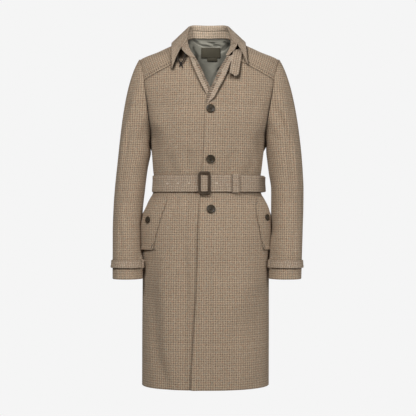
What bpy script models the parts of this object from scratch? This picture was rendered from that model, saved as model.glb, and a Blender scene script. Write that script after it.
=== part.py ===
# A knee-length belted tweed coat, filled out as if worn, with nothing inside it.
# Metres, +Z up. The front faces -Y, so the wearer's left side is +X.
# The origin is the middle of the neck, level with the neck ends of the shoulders.

import math

import bpy
import mathutils
import numpy as np

# Thicknesses and clearances
CLOTH = 0.0022
FACING_CLOTH = 0.0018
STRAP_CLOTH = 0.0026
LINING_CLOTH = 0.0010
LABEL_CLOTH = 0.0010
SEAM_GAP = 0.0003
REST_GAP = 0.0007
STRAP_GAP = 0.0011
OVERLAP_LIFT = 0.0029
OVERLAP_WITHIN, OVERLAP_FADE, OVERLAP_TOP_Z = 0.050, 0.055, -0.075

# Heights of the main levels
HEM_Z = -1.068
ARMPIT_Z = -0.315
SHOULDER_Z = -0.071
NECK_Z = 0.004
BACK_NECK_Z = 0.011
BELT_Z = -0.450

# Cross-section shape: 2 is an ellipse, more is squarer
SQUARENESS = 2.3
SLEEVE_SQUARENESS = 2.2

# Forward yoke: its seam falls away from the neck, beside the shoulder line
YOKE_SEAM_Z = -0.0650
YOKE_SEAM_FROM = 0.070
YOKE_SEAM_FALL = 0.53
YOKE_BACK_SHARE = 0.35
YOKE_COLUMNS = 9

# Armhole, an oval seen from the side
ARMHOLE_FRONT = 0.062
ARMHOLE_BACK = 0.066
ARMHOLE_MID_Z = (SHOULDER_Z + ARMPIT_Z) / 2
ARMHOLE_HALF = (SHOULDER_Z - ARMPIT_Z) / 2

# Sleeves
BICEPS_Z = -0.357
CUFF_Z = -0.739
SLEEVE_FRONT_SEAM = math.radians(152)
SLEEVE_BACK_SEAM = math.radians(226)
SLEEVE_TURN = 0.42
SLEEVE_LAP = 0.0020
SLEEVE_ARRIVING = 0.10
SLEEVE_UPPER_RUNS = [0, 0.05, 0.12, 0.22, 0.34, 0.48, 0.64, 0.82]
SLEEVE_SEAM = 0.004

# Belt, straps and trims
BELT_WIDTH = 0.050
BELT_CLOTH = 0.0030
KEEPER_FROM, KEEPER_TO = 0.0675, 0.0860
KEEPER_PLAY, KEEPER_DEPTH = 0.0012, 0.0030
BUCKLE_X = -0.0145
BUCKLE_WIDTH, BUCKLE_HEIGHT = 0.0375, 0.0710
BUCKLE_BAR, BUCKLE_DEPTH = 0.0076, 0.0048
BUCKLE_CORNER, BUCKLE_ROUNDNESS = 0.006, 0.7
CUFF_STRAP_Z = -0.6945
CUFF_STRAP_WIDTH = 0.0215
CUFF_LOOP_AT, CUFF_LOOP_HALF = math.radians(162), 0.055
CUFF_LOOP_BELOW, CUFF_LOOP_ABOVE = 0.0060, 0.0140
CUFF_LOOP_BEND_IN, CUFF_LOOP_BEND_OUT = 0.0008, 0.0032
FRONT_BUTTON, POCKET_BUTTON, BUTTON_STEPS = 0.0260, 0.0215, 16
TAB_WIDTH, TAB_SLANT, TAB_ROUND_FROM, TAB_ROUNDNESS = 0.026, 0.005, 0.86, 0.94
TAB_TOP_X, TAB_TIP_X, TAB_TOP_Z, TAB_TIP_Z = 0.087, 0.0715, -0.046, -0.130
TAB_LIFT, TAB_FLARE = 0.0040, 0.0045
LOOP_CORD_RADIUS, LOOP_CORD_POINTS = 0.0012, 29
LABEL_SIZE = (0.058, 0.033)
LABEL_TAB_SIZE = (0.034, 0.011)
LABEL_Z = -0.047
LABEL_GAP = 0.0012
LINING_ROW, LINING_DROP = -0.385, 0.0015
POCKET_BOTTOM_ROW, POCKET_TOP_ROW = -0.65, -0.49

# Colours, linear
TWEED = (0.30, 0.235, 0.17)
LEATHER = (0.045, 0.032, 0.022)
HORN = (0.075, 0.062, 0.048)
SATIN = (0.16, 0.155, 0.125)
WOVEN_LABEL = (0.07, 0.062, 0.045)


class Table:
    """Rows of named columns, read between the rows by a cubic that never overshoots them."""

    def __init__(self, columns, rows):
        self.names = columns.split()
        self.rows = np.array(sorted(rows), float)
        self.keys = self.rows[:, 0]
        steps = np.diff(self.keys)[:, None]
        slopes = np.diff(self.rows, axis=0) / steps
        before, after = slopes[:-1], slopes[1:]
        same_way = before * after > 0
        mean = 2 * before * after / np.where(same_way, before + after, 1)
        self.tangents = np.vstack([slopes[:1], np.where(same_way, mean, 0), slopes[-1:]])

    def at(self, column, key):
        pick = self.names.index(column)
        key = np.clip(key, self.keys[0], self.keys[-1])
        row = np.clip(np.searchsorted(self.keys, key, "right") - 1, 0, len(self.keys) - 2)
        step = self.keys[row + 1] - self.keys[row]
        t = (key - self.keys[row]) / step
        values, tangents = self.rows[:, pick], self.tangents[:, pick]
        return ((1 + 2 * t) * (1 - t) ** 2 * values[row] + t * (1 - t) ** 2 * step * tangents[row]
                + t * t * (3 - 2 * t) * values[row + 1] - t * t * (1 - t) * step * tangents[row + 1])


# The coat's level sections, from hem to neck
BODY = Table("height half_width front_depth back_depth centre", [
    (-1.068, 0.1960, 0.140, 0.142, -0.0120),
    (-0.900, 0.1960, 0.139, 0.141, -0.0115),
    (-0.750, 0.1955, 0.138, 0.140, -0.0110),
    (-0.650, 0.1975, 0.136, 0.139, -0.0100),
    (-0.590, 0.1985, 0.133, 0.137, -0.0093),
    (-0.545, 0.1935, 0.127, 0.131, -0.0083),
    (-0.510, 0.1825, 0.120, 0.123, -0.0075),
    (-0.485, 0.1705, 0.115, 0.117, -0.0072),
    (-0.473, 0.1662, 0.1135, 0.1155, -0.0070),
    (-0.450, 0.1650, 0.113, 0.115, -0.0068),
    (-0.427, 0.1652, 0.1135, 0.1155, -0.0065),
    (-0.410, 0.1674, 0.117, 0.118, -0.0062),
    (-0.357, 0.1725, 0.126, 0.127, -0.0051),
    (-0.315, 0.1780, 0.131, 0.133, -0.0045),
    (-0.260, 0.2000, 0.132, 0.137, -0.0035),
    (-0.200, 0.2150, 0.126, 0.136, -0.0020),
    (-0.150, 0.2200, 0.116, 0.131, -0.0010),
    (-0.110, 0.2210, 0.104, 0.122, 0.0),
    (-0.071, 0.2170, 0.087, 0.106, 0.0),
    (-0.040, 0.1535, 0.068, 0.090, 0.0),
    (-0.012, 0.0975, 0.054, 0.079, 0.0),
    (0.004, 0.0790, 0.050, 0.0745, 0.0),
    (0.016, 0.0755, 0.049, 0.0710, 0.0),
])

# Where each front stops: its edge below the top button, its fold line above, then the neck
EDGE = Table("height left right", [
    (-1.068, -0.0540, 0.0300),
    (-0.900, -0.0450, 0.0320),
    (-0.750, -0.0360, 0.0340),
    (-0.500, -0.0285, 0.0360),
    (-0.420, -0.0220, 0.0360),
    (-0.300, -0.0145, 0.0360),
    (-0.240, -0.0126, 0.0340),
    (-0.217, -0.0095, 0.0255),
    (-0.190, -0.0030, 0.0125),
    (-0.167, 0.0045, 0.0020),
    (-0.142, 0.0165, -0.0096),
    (-0.106, 0.0325, -0.0255),
    (-0.069, 0.0530, -0.0445),
    (-0.0557, 0.0600, -0.0530),
    (-0.040, 0.0670, -0.0630),
    (-0.020, 0.0735, -0.0720),
    (0.004, 0.0790, -0.0790),
])

# Width of the turned-out front edges, across from the fold line
FACING = Table("height left right", [
    (-0.212, 0.0030, 0.0120),
    (-0.190, 0.0190, 0.0165),
    (-0.167, 0.0240, 0.0185),
    (-0.148, 0.0258, 0.0190),
    (-0.1165, 0.0260, 0.0190),
    (-0.0985, 0.0235, 0.0185),
    (-0.064, 0.0165, 0.0125),
])

FACING_TOP_Z = {"left": -0.0645, "right": -0.0710}
FACING_FOOT_Z = {"left": -0.211, "right": -0.186}
FACING_FOLD_GAP = 0.0015

# Level sections of each sleeve from the biceps to the cuff
SLEEVE = {
    1: Table("height centre_x centre_y half_width half_depth", [
        (-0.357, 0.2315, 0.004, 0.0542, 0.073),
        (-0.412, 0.2370, 0.004, 0.0528, 0.070),
        (-0.468, 0.2418, 0.000, 0.0500, 0.067),
        (-0.524, 0.2408, -0.009, 0.0498, 0.064),
        (-0.598, 0.2393, -0.022, 0.0480, 0.061),
        (-0.672, 0.2366, -0.036, 0.0474, 0.059),
        (-0.742, 0.2338, -0.046, 0.0474, 0.058),
    ]),
    -1: Table("height centre_x centre_y half_width half_depth", [
        (-0.357, -0.2315, 0.004, 0.0500, 0.073),
        (-0.412, -0.2400, 0.004, 0.0474, 0.070),
        (-0.468, -0.2460, 0.000, 0.0468, 0.067),
        (-0.524, -0.2505, -0.009, 0.0454, 0.064),
        (-0.598, -0.2530, -0.022, 0.0443, 0.061),
        (-0.672, -0.2527, -0.036, 0.0437, 0.059),
        (-0.742, -0.2520, -0.046, 0.0438, 0.058),
    ]),
}

# How the sleeve leaves the armhole, by angle round it: 0 at the shoulder, 180 under the arm
SLEEVE_LEAVING = Table("angle out forward down reach", [
    (0, 0.47, 0.00, 0.88, 0.70),
    (60, 0.70, 0.25, 0.66, 0.70),
    (110, 0.70, 0.42, 0.58, 0.60),
    (150, 0.45, 0.30, 0.84, 0.70),
    (180, 0.12, 0.00, 1.00, 0.80),
])

# Half of the collar, from centre back (0) to its front end (1): neck seam and roll line
COLLAR_HALF = [
    (0.000, 0.0000, 0.0725, 0.0118, 0.0000, 0.0680, 0.0505),
    (0.230, 0.0550, 0.0556, 0.0102, 0.0430, 0.0560, 0.0500),
    (0.390, 0.0755, 0.0300, 0.0020, 0.0610, 0.0310, 0.0430),
    (0.555, 0.0755, -0.0020, 0.0020, 0.0665, -0.0060, 0.0230),
    (0.740, 0.0660, -0.0520, -0.0275, 0.0725, -0.0425, -0.0060),
    (0.860, 0.0595, -0.0690, -0.0430, 0.0838, -0.0715, -0.0325),
    (1.000, 0.0465, -0.0868, -0.0655, 0.0590, -0.0872, -0.0648),
]
COLLAR_MIRROR = np.array([-1, -1, 1, 1, -1, 1, 1])
COLLAR = Table("along seam_x seam_y seam_z roll_x roll_y roll_z",
               COLLAR_HALF + [tuple(COLLAR_MIRROR * row) for row in COLLAR_HALF[1:]])

# Half of the outer edge of the collar's fall, from centre back (0) to its point (1)
FALL_HALF = [
    (0.00, 0.000, 0.096, -0.014),
    (0.25, 0.064, 0.086, -0.014),
    (0.42, 0.101, 0.052, -0.012),
    (0.60, 0.115, -0.004, -0.0140),
    (0.80, 0.1135, -0.071, -0.046),
    (1.00, 0.1135, -0.104, -0.096),
]
FALL_MIRROR = np.array([-1, -1, 1, 1])
FALL = Table("along edge_x edge_y edge_z",
             FALL_HALF + [tuple(FALL_MIRROR * row) for row in FALL_HALF[1:]])
COLLAR_TILT = 0.06
COLLAR_SHIFT = {"seam": (0.0, 0.0040), "roll": (-0.002, 0.0010), "edge": (-0.003, 0.0010)}
COLLAR_ROLL_OUT, COLLAR_ROLL_UP = 0.007, 0.008
FALL_END = 0.86
STAND_COLUMNS, FALL_COLUMNS = 41, 33

# How far the belt stands off the coat, by angle: 0 wearer's left, 90 front, 180 right, 270 back
BELT_STAND = Table("angle lift", [
    (-90, 0.0014),
    (-40, 0.0035),
    (0, 0.0095),
    (30, 0.0060),
    (60, 0.0044),
    (100, 0.0042),
    (125, 0.0024),
    (150, 0.0016),
    (180, 0.0014),
    (270, 0.0014),
])
BELT_TAIL_DROOP = 0.006
BELT_TAIL_FROM, BELT_TAIL_TO = math.radians(-28), math.radians(95.7)

# Front line of each pocket welt, and how far its rear edge stands off the hip
POCKET = Table("height left right left_flare right_flare", [
    (-0.650, 0.1640, -0.1700, 0.0000, 0.0020),
    (-0.610, 0.1565, -0.1625, 0.0003, 0.0030),
    (-0.575, 0.1500, -0.1525, 0.0015, 0.0045),
    (-0.545, 0.1440, -0.1440, 0.0035, 0.0035),
    (-0.520, 0.1435, -0.1350, 0.0030, 0.0010),
    (-0.505, 0.1440, -0.1305, 0.0010, 0.0003),
    (-0.490, 0.1445, -0.1265, 0.0000, 0.0000),
])
POCKET_REAR = {"left": math.radians(13), "right": math.radians(167)}

# Route of the throat loop's cord: out from under the collar, round its foot and back in
LOOP_ROUTE = Table("step x height lift", [
    (0, -0.0725, -0.0455, 0.0030),
    (1, -0.0730, -0.0500, 0.0031),
    (2, -0.0734, -0.0550, 0.0033),
    (3, -0.0738, -0.0600, 0.0035),
    (4, -0.0744, -0.0650, 0.0038),
    (5, -0.0753, -0.0700, 0.0040),
    (6, -0.0766, -0.0750, 0.0042),
    (7, -0.0783, -0.0797, 0.0044),
    (8, -0.0808, -0.0838, 0.0046),
    (9, -0.0846, -0.0862, 0.0048),
    (10, -0.0886, -0.0850, 0.0048),
    (11, -0.0913, -0.0813, 0.0046),
    (12, -0.0936, -0.0765, 0.0044),
    (13, -0.0957, -0.0713, 0.0042),
    (14, -0.0976, -0.0662, 0.0040),
    (15, -0.0993, -0.0612, 0.0036),
    (16, -0.1007, -0.0565, 0.0032),
])

# Where the buttons sit on the front
BUTTONS = [
    ("button_front_1", 0.0040, -0.227, FRONT_BUTTON),
    ("button_front_2", 0.0040, -0.376, FRONT_BUTTON),
    ("button_front_3", 0.0050, -0.528, FRONT_BUTTON),
    ("button_pocket_left", 0.1705, -0.554, POCKET_BUTTON),
    ("button_pocket_right", -0.1810, -0.561, POCKET_BUTTON),
]

# Outline of a button from its shank to its dished face
BUTTON_PROFILE = Table("step radius_share height", [
    (0, 0.25, 0.0),
    (1, 0.25, 0.0014),
    (2, 0.85, 0.0014),
    (3, 1.00, 0.0026),
    (4, 1.00, 0.0042),
    (5, 0.90, 0.0052),
    (6, 0.72, 0.0052),
    (7, 0.60, 0.0043),
])

# Rows of the panels below the armhole, close together at the waist
PANEL_ROWS = [HEM_Z, -1.00, -0.91, -0.82, -0.73, -0.65, -0.61, -0.575, -0.545, -0.52, -0.505,
              -0.49, -0.475, -0.45, -0.425, -0.41, -0.385, -0.35, ARMPIT_Z]


def smooth_step(t):
    t = np.clip(t, 0, 1)
    return t * t * (3 - 2 * t)


def solve(function, low, high):
    """Where a rising function crosses zero between low and high, one answer for each element."""
    for _ in range(44):
        middle = (low + high) / 2
        below = function(middle) < 0
        low = np.where(below, middle, low)
        high = np.where(below, high, middle)
    return (low + high) / 2


def unit(vectors):
    return vectors / np.linalg.norm(vectors, axis=-1, keepdims=True)


def body_points(turn, height):
    """Points on the coat's outer form; turn is 0 at the wearer's left, 90 degrees at the front."""
    cosine, sine = np.cos(turn), np.sin(turn)
    power = 2 / SQUARENESS
    reach = BODY.at("half_width", height) * np.sign(cosine) * np.abs(cosine) ** power
    depth = np.where(sine > 0, BODY.at("front_depth", height), BODY.at("back_depth", height))
    x = BODY.at("centre", height) + reach
    y = -depth * np.sign(sine) * np.abs(sine) ** power
    return np.stack([x, y, height + 0 * turn], -1)


def skin(turn, height, lift=0.0):
    """Points moved out from the coat's form by lift."""
    turn, height = np.broadcast_arrays(np.asarray(turn, float), np.asarray(height, float))
    around = body_points(turn + 0.01, height) - body_points(turn - 0.01, height)
    upward = body_points(turn, height + 0.002) - body_points(turn, height - 0.002)
    outward = unit(np.cross(upward, around))
    return body_points(turn, height) + outward * np.broadcast_to(lift, turn.shape)[..., None]


def turn_at(x, height):
    """The angle of the front point that has this x at this height."""
    share = (x - BODY.at("centre", height)) / BODY.at("half_width", height)
    share = np.clip(share, -1, 1)
    return np.arccos(np.sign(share) * np.abs(share) ** (SQUARENESS / 2))


def reach_at(turn, height):
    """Distance of a point of the form from the centre line, across."""
    return BODY.at("half_width", height) * np.abs(np.cos(turn)) ** (2 / SQUARENESS)


def ridge(reach):
    """Height of the shoulder ridge at a distance from the centre line."""
    return solve(lambda z: reach - BODY.at("half_width", z), SHOULDER_Z + 0 * reach, NECK_Z + 0 * reach)


def yoke_seam(reach):
    return YOKE_SEAM_Z - YOKE_SEAM_FALL * (reach - YOKE_SEAM_FROM)


def yoke_height(reach, share):
    """Height at a share of the way from the ridge (0) to the yoke seam (1), on either side."""
    top = ridge(reach)
    return top - (top - yoke_seam(reach)) * share ** 2


def armhole(angle, back=False, lap=0.0):
    """Turn and height of the armhole's edge; angle 0 at the shoulder, pi under the arm."""
    height = ARMHOLE_MID_Z + (ARMHOLE_HALF + lap) * np.cos(angle)
    depth = BODY.at("back_depth" if back else "front_depth", height)
    edge = ((ARMHOLE_BACK if back else ARMHOLE_FRONT) + lap) * np.sin(angle)
    turn = np.arcsin(np.clip(edge / depth, 0, 1) ** (SQUARENESS / 2))
    return (-turn if back else turn), height


def material(name, colour, roughness):
    made = bpy.data.materials.new(name)
    made.use_nodes = True
    shader = made.node_tree.nodes["Principled BSDF"]
    shader.inputs["Base Color"].default_value = (*colour, 1)
    shader.inputs["Roughness"].default_value = roughness
    shader.inputs["Metallic"].default_value = 0.0
    return made


def solid(name, points, faces, colour, roughness=0.9):
    """One closed body, its faces turned to point out."""
    points = np.asarray(points, float)
    volume = 0.0
    for face in faces:
        for second, third in zip(face[1:-1], face[2:]):
            volume += np.dot(points[face[0]], np.cross(points[second], points[third]))
    if volume < 0:
        faces = [face[::-1] for face in faces]
    mesh = bpy.data.meshes.new(name)
    mesh.from_pydata(points.tolist(), [], faces)
    mesh.shade_smooth()
    mesh.set_sharp_from_angle(angle=math.radians(50))
    mesh.materials.append(material(name, colour, roughness))
    made = bpy.data.objects.new(name, mesh)
    bpy.context.collection.objects.link(made)
    made.parent = COAT
    return made


def abs_distance(grid, one, other):
    columns = grid.shape[1]
    return np.linalg.norm(grid[one[0], one[1] % columns] - grid[other[0], other[1] % columns])


def wall(name, outer, inner, colour=TWEED, closed=False, roughness=0.9):
    """A sheet with thickness, between two grids of points; closed joins its first and last columns."""
    rows, columns = outer.shape[:2]
    front = np.arange(rows * columns).reshape(rows, columns)
    if closed:
        front = np.hstack([front, front[:, :1]])
    behind = front + rows * columns
    faces = []
    for row in range(rows - 1):
        for column in range(front.shape[1] - 1):
            corners = [(row, column), (row, column + 1), (row + 1, column + 1), (row + 1, column)]
            if abs_distance(outer, corners[0], corners[2]) > abs_distance(outer, corners[1], corners[3]):
                corners = corners[1:] + corners[:1]
            for half in (corners[:3], [corners[0], *corners[2:]]):
                faces.append([int(front[corner]) for corner in half])
                faces.append([int(behind[corner]) for corner in half[::-1]])
    rims = [(front[0], behind[0]), (behind[-1], front[-1])]
    if not closed:
        rims += [(behind[:, 0], front[:, 0]), (front[:, -1], behind[:, -1])]
    for one, other in rims:
        for step in range(len(one) - 1):
            faces.append([int(one[step + 1]), int(one[step]), int(other[step]), int(other[step + 1])])
    points = np.concatenate([outer.reshape(-1, 3), inner.reshape(-1, 3)])
    return solid(name, points, faces, colour, roughness)


def skin_wall(name, turn, height, lift, thickness, colour=TWEED, closed=False, roughness=0.9):
    """A sheet that lies on the coat's form, lift off it on its inner face."""
    lift = np.asarray(lift, float)
    outer = skin(turn, height, lift + thickness)
    return wall(name, outer, skin(turn, height, lift), colour, closed, roughness)


def tilted_height(turn, share, top):
    """Height along a panel row that is level at the armpit (0) and follows a top line at 1."""
    def above(height):
        return height - (ARMPIT_Z + share * (top(reach_at(turn, height)) - ARMPIT_Z))
    return solve(above, ARMPIT_Z - 0.01 + 0 * turn, BACK_NECK_Z + 0 * turn)


def overlap_lift(turn, height):
    """The lapping front lies over the other one near the centre, and meets the yoke above it."""
    across = reach_at(turn, height) * np.sign(np.cos(turn))
    near_centre = 1 - smooth_step((across - OVERLAP_WITHIN) / OVERLAP_FADE)
    below_neck = smooth_step((OVERLAP_TOP_Z - height) / OVERLAP_FADE)
    return OVERLAP_LIFT * near_centre * below_neck


def mirrored(turn, side):
    return turn if side > 0 else math.pi - turn


def front_rows(side, columns):
    """Turn and height of a front panel's points, seen as on the wearer's left."""
    name = "left" if side > 0 else "right"
    spread = np.linspace(0, 1, columns)
    turns, heights = [], []

    def inner_turn(height):
        at_edge = turn_at(EDGE.at(name, height), height)
        return at_edge if side > 0 else math.pi - at_edge

    for height in PANEL_ROWS:
        depth = BODY.at("front_depth", height)
        outer = math.asin((SEAM_GAP / depth) ** (SQUARENESS / 2))
        turn = outer + spread * (inner_turn(height) - outer)
        turns.append(turn)
        heights.append(height + 0 * turn)

    def past_seam(angle):
        turn, height = armhole(angle)
        return yoke_seam(reach_at(turn, height)) - height
    last = solve(past_seam, 0.3, 2.5)
    for angle in np.linspace(math.pi, last, 9)[1:]:
        outer, outer_height = armhole(angle)
        share = (outer_height - ARMPIT_Z) / (yoke_seam(reach_at(outer, outer_height)) - ARMPIT_Z)

        def past_edge(height):
            reach = np.abs(EDGE.at(name, height) - BODY.at("centre", height))
            return height - (ARMPIT_Z + share * (yoke_seam(reach) - ARMPIT_Z))
        edge_height = solve(past_edge, -0.32, -0.03)
        turn = outer + spread * (inner_turn(edge_height) - outer)
        turns.append(turn)
        heights.append(tilted_height(turn, share, yoke_seam))
    return np.array(turns), np.array(heights)


def fronts():
    for name, side, columns in (("front_left", 1, 15), ("front_right", -1, 15)):
        turn, height = front_rows(side, columns)
        lift = overlap_lift(turn, height) if side > 0 else 0 * turn
        skin_wall(name, mirrored(turn, side), height, lift - CLOTH, CLOTH)


def yokes():
    shares = np.append(np.linspace(1, 0, 6), np.linspace(0, -YOKE_BACK_SHARE, 3)[1:])
    spread = np.linspace(0, 1, YOKE_COLUMNS)
    for name, side in (("yoke_left", 1), ("yoke_right", -1)):
        edge_name = "left" if side > 0 else "right"
        turns, heights = [], []
        for share in shares:
            back = share < 0

            def past_row(angle):
                turn, height = armhole(angle, back)
                return yoke_height(reach_at(turn, height), share) - height
            outer = reach_at(*armhole(solve(past_row, 0.0, 1.6), back))

            def past_edge(height):
                reach = np.abs(EDGE.at(edge_name, height) - BODY.at("centre", height))
                return height - yoke_height(reach, max(share, 0))
            edge_height = solve(past_edge, -0.09, NECK_Z)
            inner = np.abs(EDGE.at(edge_name, edge_height) - BODY.at("centre", edge_height))
            reach = inner + spread * (outer - inner)
            lowered = SEAM_GAP * (share == 1)
            height = yoke_height(reach, share) + lowered
            cosine = np.clip(reach / BODY.at("half_width", height), 0, 1) ** (SQUARENESS / 2)
            turns.append(np.arccos(cosine) * (-1 if back else 1))
            heights.append(height)
        skin_wall(name, mirrored(np.array(turns), side), np.array(heights), -CLOTH, CLOTH)


def back_rows(columns):
    """Turn and height of the back's points, from the wearer's left to the right."""
    spread = np.linspace(0, 1, columns)
    neck_reach = np.abs(EDGE.at("left", NECK_Z))
    turns, heights = [], []

    def top(reach):
        shoulder = yoke_height(np.maximum(reach, neck_reach), YOKE_BACK_SHARE) - 4 * SEAM_GAP
        rise = BACK_NECK_Z - (yoke_height(neck_reach, YOKE_BACK_SHARE) - 4 * SEAM_GAP)
        return shoulder + rise * (1 - np.minimum(reach / neck_reach, 1) ** 6)

    for height in PANEL_ROWS:
        depth = BODY.at("back_depth", height)
        outer = math.asin((SEAM_GAP / depth) ** (SQUARENESS / 2))
        turns.append(-outer - spread * (math.pi - 2 * outer))
        heights.append(height + 0 * spread)

    def past_top(angle):
        turn, height = armhole(angle, True)
        return top(reach_at(turn, height)) - height
    last = solve(past_top, 0.05, 2.5)
    for angle in np.linspace(math.pi, last, 10)[1:]:
        outer, outer_height = armhole(angle, True)
        outer_reach = reach_at(outer, outer_height)
        share = (outer_height - ARMPIT_Z) / (top(outer_reach) - ARMPIT_Z)
        shoulder = np.linspace(outer_reach, neck_reach, YOKE_COLUMNS)
        neck = np.linspace(neck_reach, -neck_reach, columns + 2 - 2 * YOKE_COLUMNS)
        across = np.concatenate([shoulder, neck[1:-1], -shoulder[::-1]])
        level = ARMPIT_Z + share * (top(np.abs(across)) - ARMPIT_Z)
        even_across = -turn_at(BODY.at("centre", level) + across, level)
        even_around = outer - spread * (math.pi + 2 * outer)
        turn = even_around + share * (even_across - even_around)
        turns.append(turn)
        heights.append(tilted_height(turn, share, top))
    return np.array(turns), np.array(heights)


def back_and_lining():
    turn, height = back_rows(25)
    skin_wall("back", turn, height, -CLOTH, CLOTH)
    depth = -CLOTH - REST_GAP - LINING_CLOTH
    shown = (slice(PANEL_ROWS.index(LINING_ROW), None), slice(5, -5))
    lining_height = height[shown].copy()
    lining_height[-1] -= LINING_DROP
    skin_wall("lining_back", turn[shown], lining_height, depth, LINING_CLOTH, SATIN, roughness=0.4)
    depth -= LABEL_GAP + LABEL_CLOTH
    low = LABEL_Z
    for name, centre, size in (("label", 0.0035, LABEL_SIZE), ("label_tab", 0.0080, LABEL_TAB_SIZE)):
        x, z = np.meshgrid(np.linspace(-0.5, 0.5, 5) * size[0] + centre,
                           np.linspace(0, 1, 4) * size[1] + low)
        skin_wall(name, -turn_at(x, z), z, depth, LABEL_CLOTH, WOVEN_LABEL)
        low -= LABEL_TAB_SIZE[1] + SEAM_GAP


def sleeve_points(side, angle, run):
    """A sleeve's outer face: run 0 at the armhole, 1 at the biceps, 2 at the cuff."""
    rows = SLEEVE[side]
    turned = angle - SLEEVE_TURN * np.sin(angle)
    cosine, sine = np.cos(turned), np.sin(turned)
    power = 2 / SLEEVE_SQUARENESS

    def ring(height):
        across = rows.at("half_width", height) * np.sign(cosine) * np.abs(cosine) ** power
        deep = rows.at("half_depth", height) * np.sign(sine) * np.abs(sine) ** power
        x = rows.at("centre_x", height) + side * across
        return np.stack([x, rows.at("centre_y", height) - deep, height + 0 * x], -1)

    wrapped = np.abs((angle + math.pi) % (2 * math.pi) - math.pi)
    in_front = np.sin(angle) >= 0
    front_turn, front_height = armhole(wrapped, False, SLEEVE_LAP)
    back_turn, back_height = armhole(wrapped, True, SLEEVE_LAP)
    turn = np.where(in_front, front_turn, back_turn)
    turn = turn if side > 0 else math.pi - turn
    start = skin(turn, np.where(in_front, front_height, back_height), CLOTH + REST_GAP)
    end = ring(BICEPS_Z + 0 * angle)
    degrees = np.degrees(wrapped)
    leaving = unit(np.stack([side * SLEEVE_LEAVING.at("out", degrees),
                             SLEEVE_LEAVING.at("forward", degrees) * np.where(in_front, -1, 1),
                             -SLEEVE_LEAVING.at("down", degrees)], -1))
    arriving = unit(np.array([side * SLEEVE_ARRIVING, 0.0, -1.0]))
    gap = np.linalg.norm(end - start, axis=-1, keepdims=True)
    t = np.minimum(run, 1)[..., None]
    upper = ((1 + 2 * t) * (1 - t) ** 2 * start + t * t * (3 - 2 * t) * end
             + t * (1 - t) ** 2 * gap * SLEEVE_LEAVING.at("reach", degrees)[..., None] * leaving
             - t * t * (1 - t) * gap * arriving)
    lower = ring(BICEPS_Z + (np.maximum(run, 1) - 1) * (CUFF_Z - BICEPS_Z))
    return np.where(run[..., None] < 1, upper, lower)


def sleeve_skin(side, angle, run, lift):
    """Points moved out from a sleeve's outer face by lift."""
    angle, run = np.broadcast_arrays(np.asarray(angle, float), np.asarray(run, float))
    around = sleeve_points(side, angle + 0.02, run) - sleeve_points(side, angle - 0.02, run)
    along = sleeve_points(side, angle, run + 0.01) - sleeve_points(side, angle, run - 0.01)
    outward = unit(np.cross(around, along)) * side
    return sleeve_points(side, angle, run) + outward * np.broadcast_to(lift, angle.shape)[..., None]


def run_at(height):
    return 1 + (height - BICEPS_Z) / (CUFF_Z - BICEPS_Z)


def sleeves():
    run = np.append(SLEEVE_UPPER_RUNS, np.linspace(1, 2, 10))[:, None]
    pieces = [("top", SLEEVE_BACK_SEAM - 2 * math.pi + SLEEVE_SEAM, SLEEVE_FRONT_SEAM - SLEEVE_SEAM, 18),
              ("under", SLEEVE_FRONT_SEAM + SLEEVE_SEAM, SLEEVE_BACK_SEAM - SLEEVE_SEAM, 8)]
    for side, word in ((1, "left"), (-1, "right")):
        for piece, start, end, columns in pieces:
            angle = np.linspace(start, end, columns)[None, :]
            wall(f"sleeve_{word}_{piece}", sleeve_skin(side, angle, run, 0.0),
                 sleeve_skin(side, angle, run, -CLOTH))


def cuffs():
    half = CUFF_STRAP_WIDTH / 2
    for side, word in ((1, "left"), (-1, "right")):
        angle = np.linspace(0, 2 * math.pi, 37)[None, :-1]
        run = run_at(CUFF_STRAP_Z + np.array([[-half], [half]]))
        wall(f"cuff_strap_{word}", sleeve_skin(side, angle, run, STRAP_GAP + STRAP_CLOTH),
             sleeve_skin(side, angle, run, STRAP_GAP), closed=True)
        angle = np.linspace(CUFF_LOOP_AT - CUFF_LOOP_HALF, CUFF_LOOP_AT + CUFF_LOOP_HALF, 3)[None, :]
        over = STRAP_GAP + REST_GAP + STRAP_CLOTH
        path = [(-half - CUFF_LOOP_BELOW, REST_GAP), (-half - CUFF_LOOP_BEND_OUT, REST_GAP),
                (-half - CUFF_LOOP_BEND_IN, over), (half + CUFF_LOOP_BEND_IN, over),
                (half + CUFF_LOOP_BEND_OUT, REST_GAP), (half + CUFF_LOOP_ABOVE, REST_GAP)]
        run = run_at(CUFF_STRAP_Z + np.array([[step] for step, _ in path]))
        lift = np.array([[lift] for _, lift in path]) + 0 * angle
        wall(f"cuff_loop_{word}", sleeve_skin(side, angle, run, lift + FACING_CLOTH),
             sleeve_skin(side, angle, run, lift))


def facings():
    spread = np.linspace(0, 1, 4)[None, :]
    for name, side in (("left", 1), ("right", -1)):
        height = np.linspace(FACING_FOOT_Z[name], FACING_TOP_Z[name], 10)[:, None]
        fold = EDGE.at(name, height)
        edge = fold + side * FACING.at(name, height)
        if side < 0:
            fold = np.minimum(fold, EDGE.at("left", height) - FACING_FOLD_GAP)
        x = fold + spread * (edge - fold)
        height = height + 0 * x
        turn = turn_at(x, height)
        lift = REST_GAP + (overlap_lift(turn, height) if side > 0 else 0 * turn)
        skin_wall(f"facing_{name}", turn, height, lift, FACING_CLOTH)


def collar_line(line, along):
    """Points of the neck seam, roll line or outer edge; along -1 wearer's right to 1 left."""
    table, front = (FALL, 1) if line == "edge" else (COLLAR, FALL_END)
    x = table.at(line + "_x", along)
    z = table.at(line + "_z", along) + COLLAR_TILT * x * np.clip(along / front, -1, 1) ** 4
    at_back, in_front = COLLAR_SHIFT[line]
    x = x + at_back + (in_front - at_back) * along ** 4
    return np.stack([x, table.at(line + "_y", along), z], -1)


def grid_normals(grid):
    return unit(np.cross(np.gradient(grid, axis=1), np.gradient(grid, axis=0)))


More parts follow.
